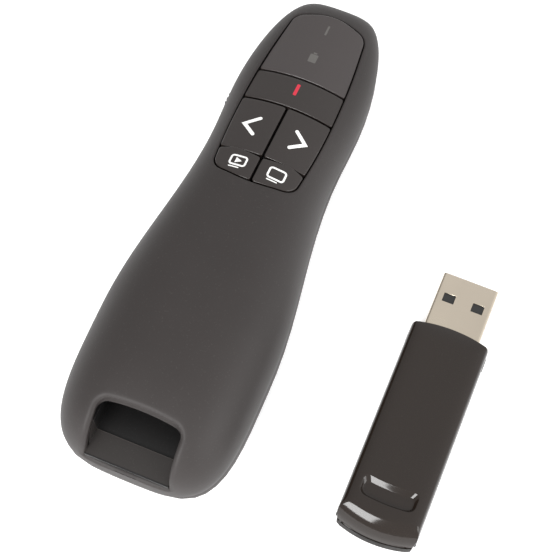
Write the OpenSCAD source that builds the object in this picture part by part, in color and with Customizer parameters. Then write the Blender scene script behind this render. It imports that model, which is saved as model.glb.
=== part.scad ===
// Wireless presentation clicker: a hand-held remote with a panel of keys, and the USB receiver
// that stows in its tail. Millimetres, +Z up, +Y towards the head, origin on the underside.

/* [Handset] */
// Greatest width, across the tail
tail_w = 37.6; // [37:0.2:42]
// Width at the waist
waist_w = 28.6; // [28.4:0.2:32]
// Greatest width of the head
head_w = 29.6; // [29.4:0.2:33]
// Room between the receiver's bay and the key panel
bay_room = 2.55; // [1.35:0.05:3]
// Room over a stowed receiver, under the crown of the back
crown_room = 2.9; // [2.7:0.1:4]
// Height that the ridge of the back falls to at the head
head_h = 15; // [14.6:0.1:17]
// Height of the plane where the two shells meet
part_z = 9; // [8.8:0.1:9.2]
// Wall thickness of both shells
wall = 1.8; // [1.5:0.1:2]

/* [Key panel] */
// Width of the key panel
panel_w = 20; // [19:0.2:20.6]
// Distance from the tip of the head to the panel
panel_from_head = 4.9; // [4.6:0.1:7]
// Length of the status window, along the panel
window_l = 19.4; // [18:0.2:20]
// Length of the laser key
laser_key_l = 8.2; // [7.6:0.1:8.8]
// Length of the back and next keys
arrow_key_l = 14; // [13:0.1:14.4]
// Length of the play and blank keys
small_key_l = 6.7; // [6.2:0.1:7.2]
// Gap between two keys
key_gap = 0.5; // [0.4:0.05:0.7]
// Gap between the keys and the shell
panel_gap = 0.35; // [0.3:0.05:0.5]
// Thickness of a key
key_t = 1.6; // [1.4:0.1:1.8]
// How far a key goes down
key_travel = 0.45; // [0.3:0.05:0.5]

/* [Power switch] */
// Distance from the tip of the head to the middle of the knob
power_from_head = 28.5; // [26:0.5:31]
// Length of the knob's thumb piece
knob_l = 5; // [4:0.5:6]
// How far the knob slides
power_travel = 2; // [1.5:0.1:2.5]

/* [Batteries] */
// Diameter of one cell
cell_d = 10.5; // [10.1:0.1:10.5]
// Length of one cell
cell_l = 44.5; // [43.5:0.1:44.8]
// Thickness of the battery cover
cover_t = 1.6; // [1.4:0.1:1.6]

/* [Receiver] */
// Width of the receiver's body
recv_w = 16.8; // [15.6:0.1:17]
// Length of the receiver's body, without the plug
recv_l = 46.2; // [44:0.2:49]
// Height of the receiver's body
recv_h = 8.2; // [7.8:0.1:8.3]
// Width of the USB plug
plug_w = 12; // [11.8:0.1:12.2]
// Height of the USB plug
plug_h = 4.5; // [4.3:0.1:4.6]
// Length of the plug in front of the body
plug_l = 12; // [11:0.1:12]
// Clearance between the receiver and its bay
bay_clear = 0.35; // [0.3:0.05:0.5]
// Length of the bay's open mouth
mouth_l = 9.7; // [8:0.1:11]
// Where the receiver lies beside the handset, to the right of its middle
recv_x = 48.5; // [40:0.5:80]

/* [Hidden] */
eps = 0.5;             // how far a cutting shape runs past what it cuts

// ---- Main sizes: the bay lies behind the panel, and the receiver lies in it over the cells ---
panel_l = window_l + laser_key_l + arrow_key_l + small_key_l;
tray_t = 0.8;
stow_in = 0.45;            // a stowed receiver's tail comes this near the handset's
plug_room = 0.3;           // in front of its plug
body_l = panel_from_head + panel_l + bay_room + tray_t + plug_room + plug_l + recv_l + stow_in;
end_y = body_l / 2;
cell_fit = 0.05;
tray_fit = 0.1;
cell_z = cover_t + cell_fit + cell_d / 2;
tray_under = cell_z + cell_d / 2 + tray_fit;
tray_floor = tray_under + tray_t;
ledge_h = 0.35;            // the raised floor in the bay's mouth
stow_z = tray_floor + ledge_h + tray_fit;
crown_h = stow_z + recv_h + wall + crown_room;

// ---- The handset's form, with places along it measured from the tips of the tail and head ----
tail_wide = 29;            // where the outline is widest, narrowest and widest again
head_waist = 41.25;
head_wide = 27.75;
tail_crown = 31.75;        // the highest place on the back
head_round = 12;           // where the head starts to round over
tail_rise = 21.75;         // where the underside starts to rise towards the tail
head_rise = 14;            // and towards the head
hollow_l = 44;             // the hollow for the index finger
hollow_from_head = 12;
hollow_deep = 4.8;
wide_y = tail_wide - end_y;
waist_y = end_y - head_waist;
head_y = end_y - head_wide;
crown_y = tail_crown - end_y;
round_y = end_y - head_round;
heel_y = tail_rise - end_y;
toe_y = end_y - head_rise;
hollow_y1 = end_y - hollow_from_head;
hollow_y0 = hollow_y1 - hollow_l;
foot_cut = 1.8;            // how much of the round underside is cut flat to stand on
tuck = 0.022;              // how far the flank draws in where the shells meet, as a share
top_power = 2.7;           // how square the two shells' sections are
low_power = 2.5;
blunt = 0.9992;            // the last section stands just short of the tip

function clamp01(t) = min(1, max(0, t));
function ease(t) = (1 - cos(180 * clamp01(t))) / 2;
function mix(a, b, t) = a + (b - a) * t;
function cap(t, n) = pow(max(0, 1 - pow(clamp01(t), n)), 1 / n);

// Half width of the outline at y, drawn in by e on every side
function half_w(y, e = 0) =
    let (tip = end_y - e)
    y < wide_y ? (tail_w / 2 - e) * cap((wide_y - y) / (wide_y + tip), 4.2)
    : y < waist_y ? mix(tail_w / 2, waist_w / 2, ease((y - wide_y) / (waist_y - wide_y))) - e
    : y < head_y ? mix(waist_w / 2, head_w / 2, ease((y - waist_y) / (head_y - waist_y))) - e
    : let (t = clamp01((y - head_y) / (tip - head_y)))
      (head_w / 2 * (1 - 0.35 * t * t) - e) * cap(t, 6);
// Height of the back's ridge line, before the ends round over
function ridge(y) = crown_h - (crown_h - head_h) * pow(max(0, y - crown_y) / (end_y - crown_y), 1.4);
function crown(y, e = 0) =
    let (tip = end_y - e,
         k = y < crown_y ? cap((crown_y - y) / (crown_y + tip), 3)
           : cap((y - round_y) / (tip - round_y), 2.8))
    part_z + (ridge(y) - e - part_z) * k;
function keel(y, e = 0) =
    let (tip = end_y - e,
         rise = pow(sin(180 * clamp01((y - hollow_y0) / (hollow_y1 - hollow_y0))), 2),
         low = hollow_deep * rise - foot_cut + e,
         k = y < heel_y ? cap((heel_y - y) / (heel_y + tip), 2.8)
           : cap((y - toe_y) / (tip - toe_y), 2.6))
    part_z - (part_z - low) * k;
// Height of the back at a point, and how far out the flank stands at a height
function back_z(x, y, e = 0) = part_z + (crown(y, e) - part_z) * cap(abs(x) / half_w(y, e), top_power);
function back_x(y, z, e = 0) = half_w(y, e) * cap((z - part_z) / (crown(y, e) - part_z), top_power);

stations = 34;   // sections along a shell
arc_steps = 24;  // steps across one section
// A half of the handset as a closed solid, drawn in by e; its flat side lies on the parting
// plane, or passes it by skirt. dir is 1 for the back and -1 for the underside.
module half_form(dir, e = 0, skirt = 0) {
    power = 2 / (dir > 0 ? top_power : low_power);
    row = arc_steps + 3;
    function section(i) =
        let (y = -(end_y - e) * blunt * cos(180 * i / stations), w = half_w(y, e),
             h = dir > 0 ? crown(y, e) - part_z : part_z - keel(y, e))
        [[-w * (1 - tuck), y, part_z - dir * skirt],
         for (j = [0 : arc_steps])
             let (a = 180 * j / arc_steps, up = pow(max(0, sin(a)), power),
                  in = 1 - tuck * pow(max(0, 1 - up / 0.3), 2))
             [-w * sign(cos(a)) * pow(abs(cos(a)), power) * in, y,
              dir > 0 ? part_z + h * up : max(e, part_z - h * up)],
         [w * (1 - tuck), y, part_z - dir * skirt]];
    points = [for (i = [0 : stations]) each section(i)];
    function at(i, j) = i * row + (j % row);
    function quad(i, j) =
        [[at(i, j), at(i + 1, j), at(i + 1, j + 1)], [at(i, j), at(i + 1, j + 1), at(i, j + 1)]];
    sides = [for (i = [0 : stations - 1]) for (j = [0 : row - 1]) each quad(i, j)];
    ends = [[for (j = [0 : row - 1]) at(0, j)], [for (j = [row - 1 : -1 : 0]) at(stations, j)]];
    faces = concat(sides, ends);
    turned = [for (f = faces) [for (k = [len(f) - 1 : -1 : 0]) f[k]]];
    polyhedron(points, dir > 0 ? faces : turned, convexity = 6);
}

// ---- The key panel: its own frame lies on the chord of the back, tilted with it -------------
panel_top_y = end_y - panel_from_head;
panel_low_y = panel_top_y - panel_l;
panel_mid_y = (panel_top_y + panel_low_y) / 2;
panel_mid_z = (ridge(panel_top_y) + ridge(panel_low_y)) / 2;
panel_tilt = atan((ridge(panel_low_y) - ridge(panel_top_y)) / panel_l);
module on_panel() {
    translate([0, panel_mid_y, panel_mid_z]) rotate([-panel_tilt, 0, 0]) children();
}

// Lines between the rows of keys, in the panel's frame
top_v = panel_l / 2;
laser_v1 = top_v - window_l;
laser_v0 = laser_v1 - laser_key_l;
arrow_v0 = laser_v0 - arrow_key_l;
low_v = -panel_l / 2;
wide_v = laser_v0 + 0.5;    // where the panel is widest
side_bow = 165;             // radii of its bowed sides, top and bottom
top_bow = 12.7;
low_bow = 25;
top_corner = 3.2;           // how far its top and bottom corners lie from its ends
low_corner = 3.4;
key_corner = 0.7;
corner_in = 2.2;            // where the bowed ends stop, in from the panel's half width

// The keys' tops are part of a cylinder that follows the crown of the back
key_fall = crown(panel_mid_y) - back_z(panel_w / 2, panel_mid_y);
key_r = (pow(panel_w / 2, 2) + pow(key_fall, 2)) / (2 * key_fall);
function key_drop(x) = key_r - sqrt(pow(key_r, 2) - pow(x, 2));
frame_t = 0.9;              // the key frame, under the keys
frame_gap = 0.5;            // between a pressed key and the frame
frame_top = key_t + key_travel + frame_gap;
frame_fit = 0.35;           // around what passes through it
frame_short = 2.3;          // how far it stops short of the panel's rear end

// Half width of the panel on a line across it
function edge_u(v) = panel_w / 2 - pow(v - wide_v, 2) / (2 * side_bow);
// The outline of the panel between two lines, drawn in by e, with corners of radius r;
// side is -1 or 1 for one half, or 0 for both
module key_plan(v0, v1, side = 0, e = panel_gap, r = key_corner) {
    steps = 6;
    low = v0 <= low_v ? low_v + low_corner : v0 + key_gap / 2 + r;
    high = v1 >= top_v ? top_v - top_corner : v1 - key_gap / 2 - r;
    inner = key_gap / 2 + r;
    hull() {
        for (s = side == 0 ? [-1, 1] : [side]) {
            for (k = [0 : steps]) let (v = mix(low, high, k / steps))
                translate([s * (edge_u(v) - e - r), v]) circle(r = r, $fn = 24);
            for (k = [0 : steps - 1]) let (u = mix(inner, panel_w / 2 - corner_in, k / (steps - 1))) {
                if (v0 <= low_v)
                    translate([s * u, low_v + e + r + u * u / (2 * low_bow)]) circle(r = r, $fn = 24);
                if (v1 >= top_v)
                    translate([s * u, top_v - e - r - u * u / (2 * top_bow)]) circle(r = r, $fn = 24);
            }
            translate([s * inner, high]) circle(r = r, $fn = 24);
            if (v0 > low_v)
                translate([s * inner, low]) circle(r = r, $fn = 24);
        }
    }
}
module panel_plan() { key_plan(low_v, top_v, 0, 0, key_corner + panel_gap); }
// A crowned sheet of the plan below it: depth under the keys' tops, and thickness
module crowned(depth, t) {
    low = -key_drop(panel_w / 2) - depth - t - eps;
    difference() {
        intersection() {
            translate([0, 0, low]) linear_extrude(eps - low) children();
            translate([0, panel_l, -key_r]) rotate([90, 0, 0])
                cylinder(r = key_r - depth, h = 2 * panel_l, $fn = 360);
        }
        translate([0, panel_l + eps, -key_r]) rotate([90, 0, 0])
            cylinder(r = key_r - depth - t, h = 2 * (panel_l + eps), $fn = 360);
    }
}

// ---- Switches under the keys -----------------------------------------------------------------
board_top = 8.8;            // depth of the main board under the keys' tops
board_t = 1;
switch_h = 3.1;
stem_out = 1;               // a stem at rest stands this far out of its switch
stem_in = 1.4;              // and reaches this far into it
stem_d = 2;
stem_fit = 0.12;
bore_spare = 0.3;           // room left under a stem that is pressed home
plunger_w = 2;
big_switch = 6;
small_switch = 3.4;
laser_at = [0, (laser_v0 + laser_v1) / 2];
arrow_at = [5.2, (arrow_v0 + laser_v0) / 2];
small_at = [4.4, arrow_v0 - 0.9];     // near the small keys' upper edge, clear of the tray
switch_top = -(board_top - switch_h);
stem_top = switch_top + stem_out;

module key(v0, v1, side, at) {
    crowned(0, key_t) key_plan(v0, v1, side);
    under = -key_drop(at[0]) - key_t / 2;
    translate([at[0] - plunger_w / 2, at[1] - plunger_w / 2, stem_top])
        cube([plunger_w, plunger_w, under - stem_top]);
}
module stem(at) {
    translate([at[0], at[1], switch_top - stem_in]) cylinder(d = stem_d, h = stem_in + stem_out, $fn = 32);
}
module key_switch(at, size) {
    bore = stem_in + key_travel + bore_spare;
    difference() {
        translate([at[0] - size / 2, at[1] - size / 2, -board_top]) cube([size, size, switch_h]);
        translate([at[0], at[1], switch_top - bore])
            cylinder(d = stem_d + 2 * stem_fit, h = bore + eps, $fn = 32);
    }
}
function left(at) = [-at[0], at[1]];
key_places = [laser_at, arrow_at, left(arrow_at), small_at, left(small_at)];

module laser_key() { color([0.27, 0.25, 0.24]) on_panel() key(laser_v0, laser_v1, 0, laser_at); }
module back_key() { color([0.27, 0.25, 0.24]) on_panel() key(arrow_v0, laser_v0, -1, left(arrow_at)); }
module next_key() { color([0.27, 0.25, 0.24]) on_panel() key(arrow_v0, laser_v0, 1, arrow_at); }
module play_key() { color([0.27, 0.25, 0.24]) on_panel() key(low_v, arrow_v0, -1, left(small_at)); }
module blank_key() { color([0.27, 0.25, 0.24]) on_panel() key(low_v, arrow_v0, 1, small_at); }
module laser_stem() { color("black") on_panel() stem(laser_at); }
module back_stem() { color("black") on_panel() stem(left(arrow_at)); }
module next_stem() { color("black") on_panel() stem(arrow_at); }
module play_stem() { color("black") on_panel() stem(left(small_at)); }
module blank_stem() { color("black") on_panel() stem(small_at); }
module key_switches() {
    color("silver") on_panel() {
        key_switch(laser_at, big_switch);
        for (at = [arrow_at, left(arrow_at)]) key_switch(at, big_switch);
        for (at = [small_at, left(small_at)]) key_switch(at, small_switch);
    }
}

// ---- Status window and its lights ------------------------------------------------------------
icon_v = top_v - 13.1;      // the battery sign, and the slit of light nearer the head
slit_v = top_v - 4.4;
guide_w = 1.6;
led_h = 0.8;
led_w = 1.6;
guide_gap = 0.2;            // over the guide and under it
bar_t = 1.4;                // thickness of the bar that joins its two ends
module status_window() {
    color([0.2, 0.19, 0.18]) on_panel() crowned(0, key_t) key_plan(laser_v1, top_v, 0);
}
module light_guide() {
    lit = key_t + guide_gap;
    foot = board_top - led_h - guide_gap;
    color([0.9, 0.9, 0.85, 0.6]) on_panel() {
        for (v = [icon_v, slit_v])
            translate([-guide_w / 2, v - guide_w / 2, -lit - bar_t - eps])
                cube([guide_w, guide_w, bar_t + eps]);
        translate([-guide_w / 2, icon_v - guide_w / 2, -lit - 2 * bar_t])
            cube([guide_w, slit_v - icon_v + guide_w, bar_t]);
        translate([-guide_w / 2, icon_v - guide_w / 2, -foot]) cube([guide_w, guide_w, foot - lit]);
    }
}
module status_leds() {
    color([0.9, 0.9, 0.8]) on_panel()
        translate([-led_w / 2, icon_v - led_w / 2, -board_top]) cube([led_w, led_w, led_h]);
}
module key_frame() {
    hole_w = plunger_w + 2 * frame_fit;
    slot_w = guide_w + 2 * frame_fit;
    color([0.1, 0.1, 0.1]) on_panel() difference() {
        crowned(frame_top, frame_t) intersection() {
            panel_plan();
            translate([-panel_w, low_v + frame_short]) square([2 * panel_w, panel_l]);
        }
        for (at = key_places)
            translate([at[0] - hole_w / 2, at[1] - hole_w / 2, -panel_w])
                cube([hole_w, hole_w, 2 * panel_w]);
        translate([-slot_w / 2, icon_v - slot_w / 2, -panel_w])
            cube([slot_w, slit_v - icon_v + slot_w, 2 * panel_w]);
    }
}

// ---- Main board --------------------------------------------------------------------------------
board_w = 20;
board_v0 = small_at[1] - small_switch / 2 - 0.4;    // its ends, past the last switch and the light
board_v1 = icon_v + 1.8;
post_d = 2.6;               // the four posts that carry the board, and the pins on them
post_u = 7.6;
post_vs = [board_v0 + 6.4, board_v1 - 2.4];
pin_d = 1.3;
pin_fit = 0.15;
module main_board() {
    color([0.1, 0.35, 0.2]) on_panel() difference() {
        translate([-board_w / 2, board_v0, -board_top - board_t])
            cube([board_w, board_v1 - board_v0, board_t]);
        for (u = [-post_u, post_u], v = post_vs) translate([u, v, -board_top - board_t - eps])
            cylinder(d = pin_d + 2 * pin_fit, h = board_t + 2 * eps, $fn = 24);
    }
}
// Height of the board's underside at y
function board_under(y) =
    panel_mid_z - (y - panel_mid_y) * tan(panel_tilt) - (board_top + board_t) / cos(panel_tilt);
chips = [[-2.5, 5, 4.6, 0.9], [4.2, 2.5, 3.2, 0.8], [-6.4, 2.4, 2.4, 0.7]];    // left side, then sizes
chip_v = laser_at[1] + big_switch / 2 + 0.6;
module board_chips() {
    color([0.12, 0.12, 0.13]) on_panel() for (c = chips)
        translate([c[0], chip_v, -board_top]) cube([c[1], c[2], c[3]]);
}

// ---- Laser --------------------------------------------------------------------------------------
laser_z = part_z;
barrel_d = 6;
barrel_l = 12.2;
bezel_y = end_y - wall - 0.1;       // front face of the ring's flange, behind the head's wall
bezel_t = 1.2;
flange_d = barrel_d + 0.6;
nose_d = 4.4;                       // the ring's nose, in the hole through the wall
nose_in = 0.3;                      // it stops this far inside the head's tip
beam_d = 3;
lens_d = 4;
lens_t = 1.2;
optic_fit = 0.05;                   // around the lens, the barrel and the ring
barrel_y1 = bezel_y - bezel_t;
barrel_y0 = barrel_y1 - barrel_l;
cradle_in = 2;                      // the two cradles stand this far in from the barrel's ends
module along_y(y0, y1, z = laser_z) {
    translate([0, y1, z]) rotate([90, 0, 0]) linear_extrude(y1 - y0) children();
}
module laser_barrel() {
    seat = barrel_l - 2.5;
    color([0.75, 0.62, 0.3]) difference() {
        along_y(barrel_y0, barrel_y1) circle(d = barrel_d, $fn = 48);
        along_y(barrel_y1 - seat, barrel_y1 + eps) circle(d = lens_d + 2 * optic_fit, $fn = 48);
        along_y(barrel_y0 - eps, barrel_y1) circle(d = beam_d, $fn = 48);
    }
}
module laser_lens() {
    color([0.8, 0.85, 0.95, 0.5]) along_y(barrel_y1 - lens_t, barrel_y1) circle(d = lens_d, $fn = 48);
}
module laser_diode() {
    color([0.7, 0.7, 0.72]) {
        along_y(barrel_y0 - 1, barrel_y0) circle(d = barrel_d - 0.4, $fn = 48);
        along_y(barrel_y0 - eps, barrel_y0 + 2) circle(d = beam_d - 2 * optic_fit, $fn = 48);
    }
}
module laser_bezel() {
    color([0.08, 0.08, 0.08]) difference() {
        union() {
            along_y(bezel_y - bezel_t, bezel_y) circle(d = flange_d, $fn = 48);
            along_y(bezel_y - eps, end_y - nose_in) circle(d = nose_d, $fn = 48);
        }
        along_y(bezel_y - bezel_t - eps, end_y + eps) circle(d = beam_d, $fn = 48);
    }
}
// The hole for the ring in both shells, and the pocket for its flange
module bezel_hole() {
    along_y(bezel_y - 2 * bezel_t, bezel_y + optic_fit) circle(d = flange_d + 4 * optic_fit, $fn = 48);
    along_y(bezel_y - eps, end_y + eps) circle(d = nose_d + 4 * optic_fit, $fn = 48);
}

// ---- Power switch: it stands on the board's left edge, and its knob shows in the left flank -------
power_y = end_y - power_from_head;
power_v = (power_y - panel_mid_y) / cos(panel_tilt);
slot_fit = 0.25;
knob_h = 2;
knob_in = 0.2;                             // the thumb piece lies this far inside the flank
plate_t = 1;                               // the plate behind the slot, which keeps it covered
plate_h = 3;
plate_l = knob_l + power_travel + 2;
plate_gap = 1;
lever_w = 1.2;
lever_h = 1;
lever_in = 1;                              // how far the lever reaches into the switch
groove_fit = 0.2;
switch_w = 3;
switch_l = 7;
body_h = 2.6;
power_depth = board_top - body_h / 2;      // depth of the lever under the keys' tops
power_z = panel_mid_z - (power_y - panel_mid_y) * tan(panel_tilt) - power_depth;
plate_x = plate_gap - back_x(power_y, power_z, wall);      // outer face of the knob's plate
switch_x0 = 0.2 - board_w / 2;
off_v = power_v - power_travel / 2;                // the knob rests at off
module on_lever() { on_panel() translate([0, 0, -power_depth]) children(); }
module power_slot() {
    l = knob_l + power_travel + 2 * slot_fit;
    on_lever() translate([-tail_w, power_v - l / 2, -knob_h / 2 - slot_fit])
        cube([tail_w - board_w / 2, l, knob_h + 2 * slot_fit]);
}
module power_knob() {
    thumb_x = knob_in - back_x(power_y, power_z);
    rib = knob_l / 8;
    color([0.2, 0.2, 0.2]) on_lever() {
        translate([plate_x, off_v - plate_l / 2, -plate_h / 2]) cube([plate_t, plate_l, plate_h]);
        difference() {
            translate([thumb_x, off_v - knob_l / 2, -knob_h / 2])
                cube([plate_x - thumb_x + plate_t / 2, knob_l, knob_h]);
            for (k = [-1.5 : 1.5]) translate([thumb_x - eps, off_v + (2 * k - 0.5) * rib, -knob_h])
                cube([eps + 0.3, rib, 2 * knob_h]);
        }
    }
}
module power_lever() {
    color([0.85, 0.85, 0.85]) on_lever() translate([plate_x + plate_t, off_v - lever_w / 2, -lever_h / 2])
        cube([switch_x0 + lever_in - plate_x - plate_t, lever_w, lever_h]);
}
module power_switch() {
    groove_l = lever_w + power_travel + 2 * groove_fit;
    groove_h = lever_h + 2 * groove_fit;
    color("silver") on_lever() difference() {
        translate([switch_x0, power_v - switch_l / 2, -body_h / 2]) cube([switch_w, switch_l, body_h]);
        translate([switch_x0 - eps, power_v - groove_l / 2, -groove_h / 2])
            cube([eps + lever_in + groove_fit, groove_l, groove_h]);
    }
}

// ---- Receiver bay ---------------------------------------------------------------------------------
tray_in = 0.75;                 // the tray's end stands this far inside the tail's tip
tray_y0 = tray_in - end_y;
floor_in = 2.2;                 // its walls start this far in from there
stow_y = stow_in - end_y;
bay_half = recv_w / 2 + bay_clear;
ledge_l = 5.5;                  // length of the raised floor
chamber_y = stow_y + recv_l + 0.6;         // the wall that the body stops at
plug_end_y = stow_y + recv_l + plug_l + plug_room;
plug_low = (recv_h - plug_h) / 2 - 0.25;   // height of the plug over the receiver's underside
plug_fit = 0.2;
wall_in = 0.35;                 // the tray's walls stop this far below the shell
wall_top = stow_z + 5.1;
mouth_end = tray_y0 + mouth_l;
function wall_z(y) = min(wall_top, back_z(bay_half + tray_t, y, wall) - wall_in);
module tray_side() {
    n = 12;
    y0 = tray_y0 + floor_in;
    rotate([90, 0, 90]) linear_extrude(tray_t) polygon(concat(
        [[y0, tray_under], [chamber_y + tray_t, tray_under], [chamber_y + tray_t, wall_top]],
        [for (i = [n : -1 : 0]) let (y = mix(y0, mouth_end + 2, i / n)) [y, max(tray_floor, wall_z(y))]]));
}
module receiver_tray() {
    half = bay_half + tray_t;
    sill = bay_half + tray_fit;
    plug_z0 = stow_z + plug_low - plug_fit;
    room = [plug_w / 2 + plug_fit, plug_end_y - chamber_y, plug_h + 2 * plug_fit];
    color([0.16, 0.16, 0.17]) difference() {
        union() {
            translate([-half, tray_y0 + floor_in, tray_under])
                cube([2 * half, chamber_y + tray_t - tray_y0 - floor_in, tray_t]);
            translate([-sill, tray_y0, tray_under + tray_fit])
                cube([2 * sill, ledge_l, tray_t - tray_fit + ledge_h]);
            for (x = [-half, bay_half]) translate([x, 0, 0]) tray_side();
            translate([-bay_half - eps, chamber_y, tray_under])
                cube([2 * (bay_half + eps), tray_t, wall_top - tray_under]);
            translate([-room[0] - tray_t, chamber_y, plug_z0 - tray_t])
                cube([2 * (room[0] + tray_t), room[1] + tray_t, room[2] + 1.8 * tray_t]);
        }
        translate([-room[0], chamber_y - eps, plug_z0]) cube([2 * room[0], room[1] + eps, room[2]]);
    }
}

// ---- Batteries -------------------------------------------------------------------------------------
cell_gap = 0.7;
cell_x = (cell_d + cell_gap) / 2;
cell_y0 = 9 - end_y;
cell_y1 = cell_y0 + cell_l;
pole_d = 3.6;
pole_l = 0.9;
module cell(x, turned) {
    translate([x, turned ? cell_y1 : cell_y0, cell_z]) rotate([turned ? 90 : -90, 0, 0]) {
        color([0.15, 0.35, 0.2]) cylinder(d = cell_d, h = cell_l - pole_l, $fn = 64);
        color("silver") cylinder(d = pole_d, h = cell_l, $fn = 32);
    }
}
module left_cell() { cell(-cell_x, false); }
module right_cell() { cell(cell_x, true); }
contact_t = 0.35;
contact_h = 7;
contact_w = 5;
spring_l = 1.6;
end_room = spring_l + 2 * cell_fit;        // between a cell and the well's end
// A leaf spring bears on the flat end of each cell, and a plate on its pole
module leaf(x, y, dir) {
    tip = spring_l - contact_t;
    outline = [[0, 0], [contact_w, 0], [contact_w, contact_t], [3.6, spring_l], [1.4, spring_l],
        [1.4, tip], [3.4, tip], [4.4, contact_t], [0, contact_t]];    // from one end of its foot
    translate([x - contact_w / 2, 0, cell_z - contact_h / 2]) linear_extrude(contact_h)
        polygon([for (p = outline) [p[0], y + dir * p[1]]]);
}
module cell_springs() {
    color("silver") {
        leaf(-cell_x, cell_y0 - spring_l - cell_fit, 1);
        leaf(cell_x, cell_y1 + spring_l + cell_fit, -1);
    }
}
module cell_contacts() {
    color("silver") for (c = [[cell_x, cell_y0 - spring_l - cell_fit], [-cell_x, cell_y1 + cell_fit]])
        translate([c[0] - contact_w / 2, c[1], cell_z - contact_h / 2])
            cube([contact_w, spring_l, contact_h]);
}

// ---- Battery cover ---------------------------------------------------------------------------------
well_half = cell_x + cell_d / 2 + 0.25;    // half width of the battery well
cover_half = well_half + 0.5;
cover_fit = 0.12;
cover_y1 = cell_y1 + 3.2;                  // the front edge of the cover
cover_tail = tray_y0 + 3;                  // its back edge, where the underside has risen
tongue_z = 0.85;
tongue_w = 0.8;
tongue_l = 6;
tongue_ys = [cell_y0 + 6, cell_y0 + 26];
groove_d = 0.8;                            // five grooves for the thumb near its front edge
groove_half = 5;
groove_step = 1.5;
module battery_cover() {
    color([0.3, 0.29, 0.28]) {
        difference() {
            intersection() {
                half_form(-1);
                translate([-cover_half, cover_tail, -eps])
                    cube([2 * cover_half, cover_y1 - cover_tail, cover_t + eps]);
            }
            for (k = [0 : 4]) hull() for (x = [-groove_half, groove_half])
                translate([x, cover_y1 - groove_half - groove_step * k, 0]) sphere(d = groove_d, $fn = 16);
        }
        for (y = tongue_ys) for (s = [-1, 1])
            translate([s > 0 ? cover_half - eps : -cover_half - tongue_w, y, tongue_z])
                cube([tongue_w + eps, tongue_l, cover_t - tongue_z]);
    }
}

// ---- Case screws and bosses ------------------------------------------------------------------------
screw_d = 2;
screw_l = 7.5;
head_d = 3.6;
head_t = 1.4;
cross_w = 0.4;                 // the cross slot in its head
cross_deep = 0.8;
boss_d = 4.2;
boss_ribs = [-60, 60];         // the two ribs of a boss point this way, out to the flank
screw_at = [[tail_w / 2 - 4.7, 23.75 - end_y], [head_w / 2 - 5.9, end_y - 12.8]];
screw_places = [for (p = screw_at, s = [-1, 1]) [s * p[0], p[1]]];
screw_fit = 0.05;
seat_z = 3.6;                  // where the screw heads sit
screw_tip = seat_z + screw_l;
module case_screws() {
    color([0.5, 0.5, 0.52]) for (p = screw_places) translate([p[0], p[1], seat_z]) {
        difference() {
            translate([0, 0, -head_t]) cylinder(d = head_d, h = head_t, $fn = 32);
            for (turn = [0, 90]) rotate([0, 0, turn]) translate([-screw_d / 2, -cross_w / 2, -head_t - eps])
                cube([screw_d, cross_w, eps + cross_deep]);
        }
        translate([0, 0, -head_t / 2]) cylinder(d = screw_d, h = screw_l + head_t / 2, $fn = 24);
    }
}
// A boss with two ribs to the wall beside it, from z0 to z1
module boss(p, z0, z1) {
    translate([p[0], p[1], z0]) cylinder(d = boss_d, h = z1 - z0, $fn = 32);
    for (turn = boss_ribs) hull() for (reach = [0, boss_d])
        translate([p[0] + sign(p[0]) * reach * cos(turn), p[1] + reach * sin(turn), z0])
            cylinder(d = 1, h = z1 - z0, $fn = 12);
}

// ---- Shells ----------------------------------------------------------------------------------------
mouth_half = bay_half + 0.15;
mouth_y = mouth_end - 0.6;                 // the mouth's forward edge, just over the bay's own
mouth_r = 3.2;
boss_top = part_z + 5;
well_t = 1;                                // walls of the battery well
well_y0 = cell_y0 - end_room;
well_y1 = cell_y1 + end_room;
rail_t = 2.6;                              // rails that the cover's tongues run under
rail_h = 3.2;
cradle_w = 10;
cradle_t = 1.2;
module upper_shell() {
    color([0.31, 0.29, 0.28]) difference() {
        union() {
            difference() {
                half_form(1);
                half_form(1, wall, eps);
            }
            intersection() {
                half_form(1, wall / 2);
                for (p = screw_places) boss(p, part_z, boss_top);
            }
        }
        on_panel() translate([0, 0, -board_top]) linear_extrude(2 * board_top) panel_plan();
        // The mouth of the bay, rounded in plan at its forward corners
        hull() {
            for (s = [-1, 1]) translate([s * (mouth_half - mouth_r), mouth_y - mouth_r, tray_under])
                cylinder(r = mouth_r, h = crown_h, $fn = 32);
            translate([-mouth_half, -end_y - eps, tray_under]) cube([2 * mouth_half, mouth_l / 2, crown_h]);
        }
        for (p = screw_places) translate([p[0], p[1], part_z - eps])
            cylinder(d = screw_d + 2 * screw_fit, h = screw_tip + 2 * eps - part_z, $fn = 24);
        bezel_hole();
        power_slot();
    }
}
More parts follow.
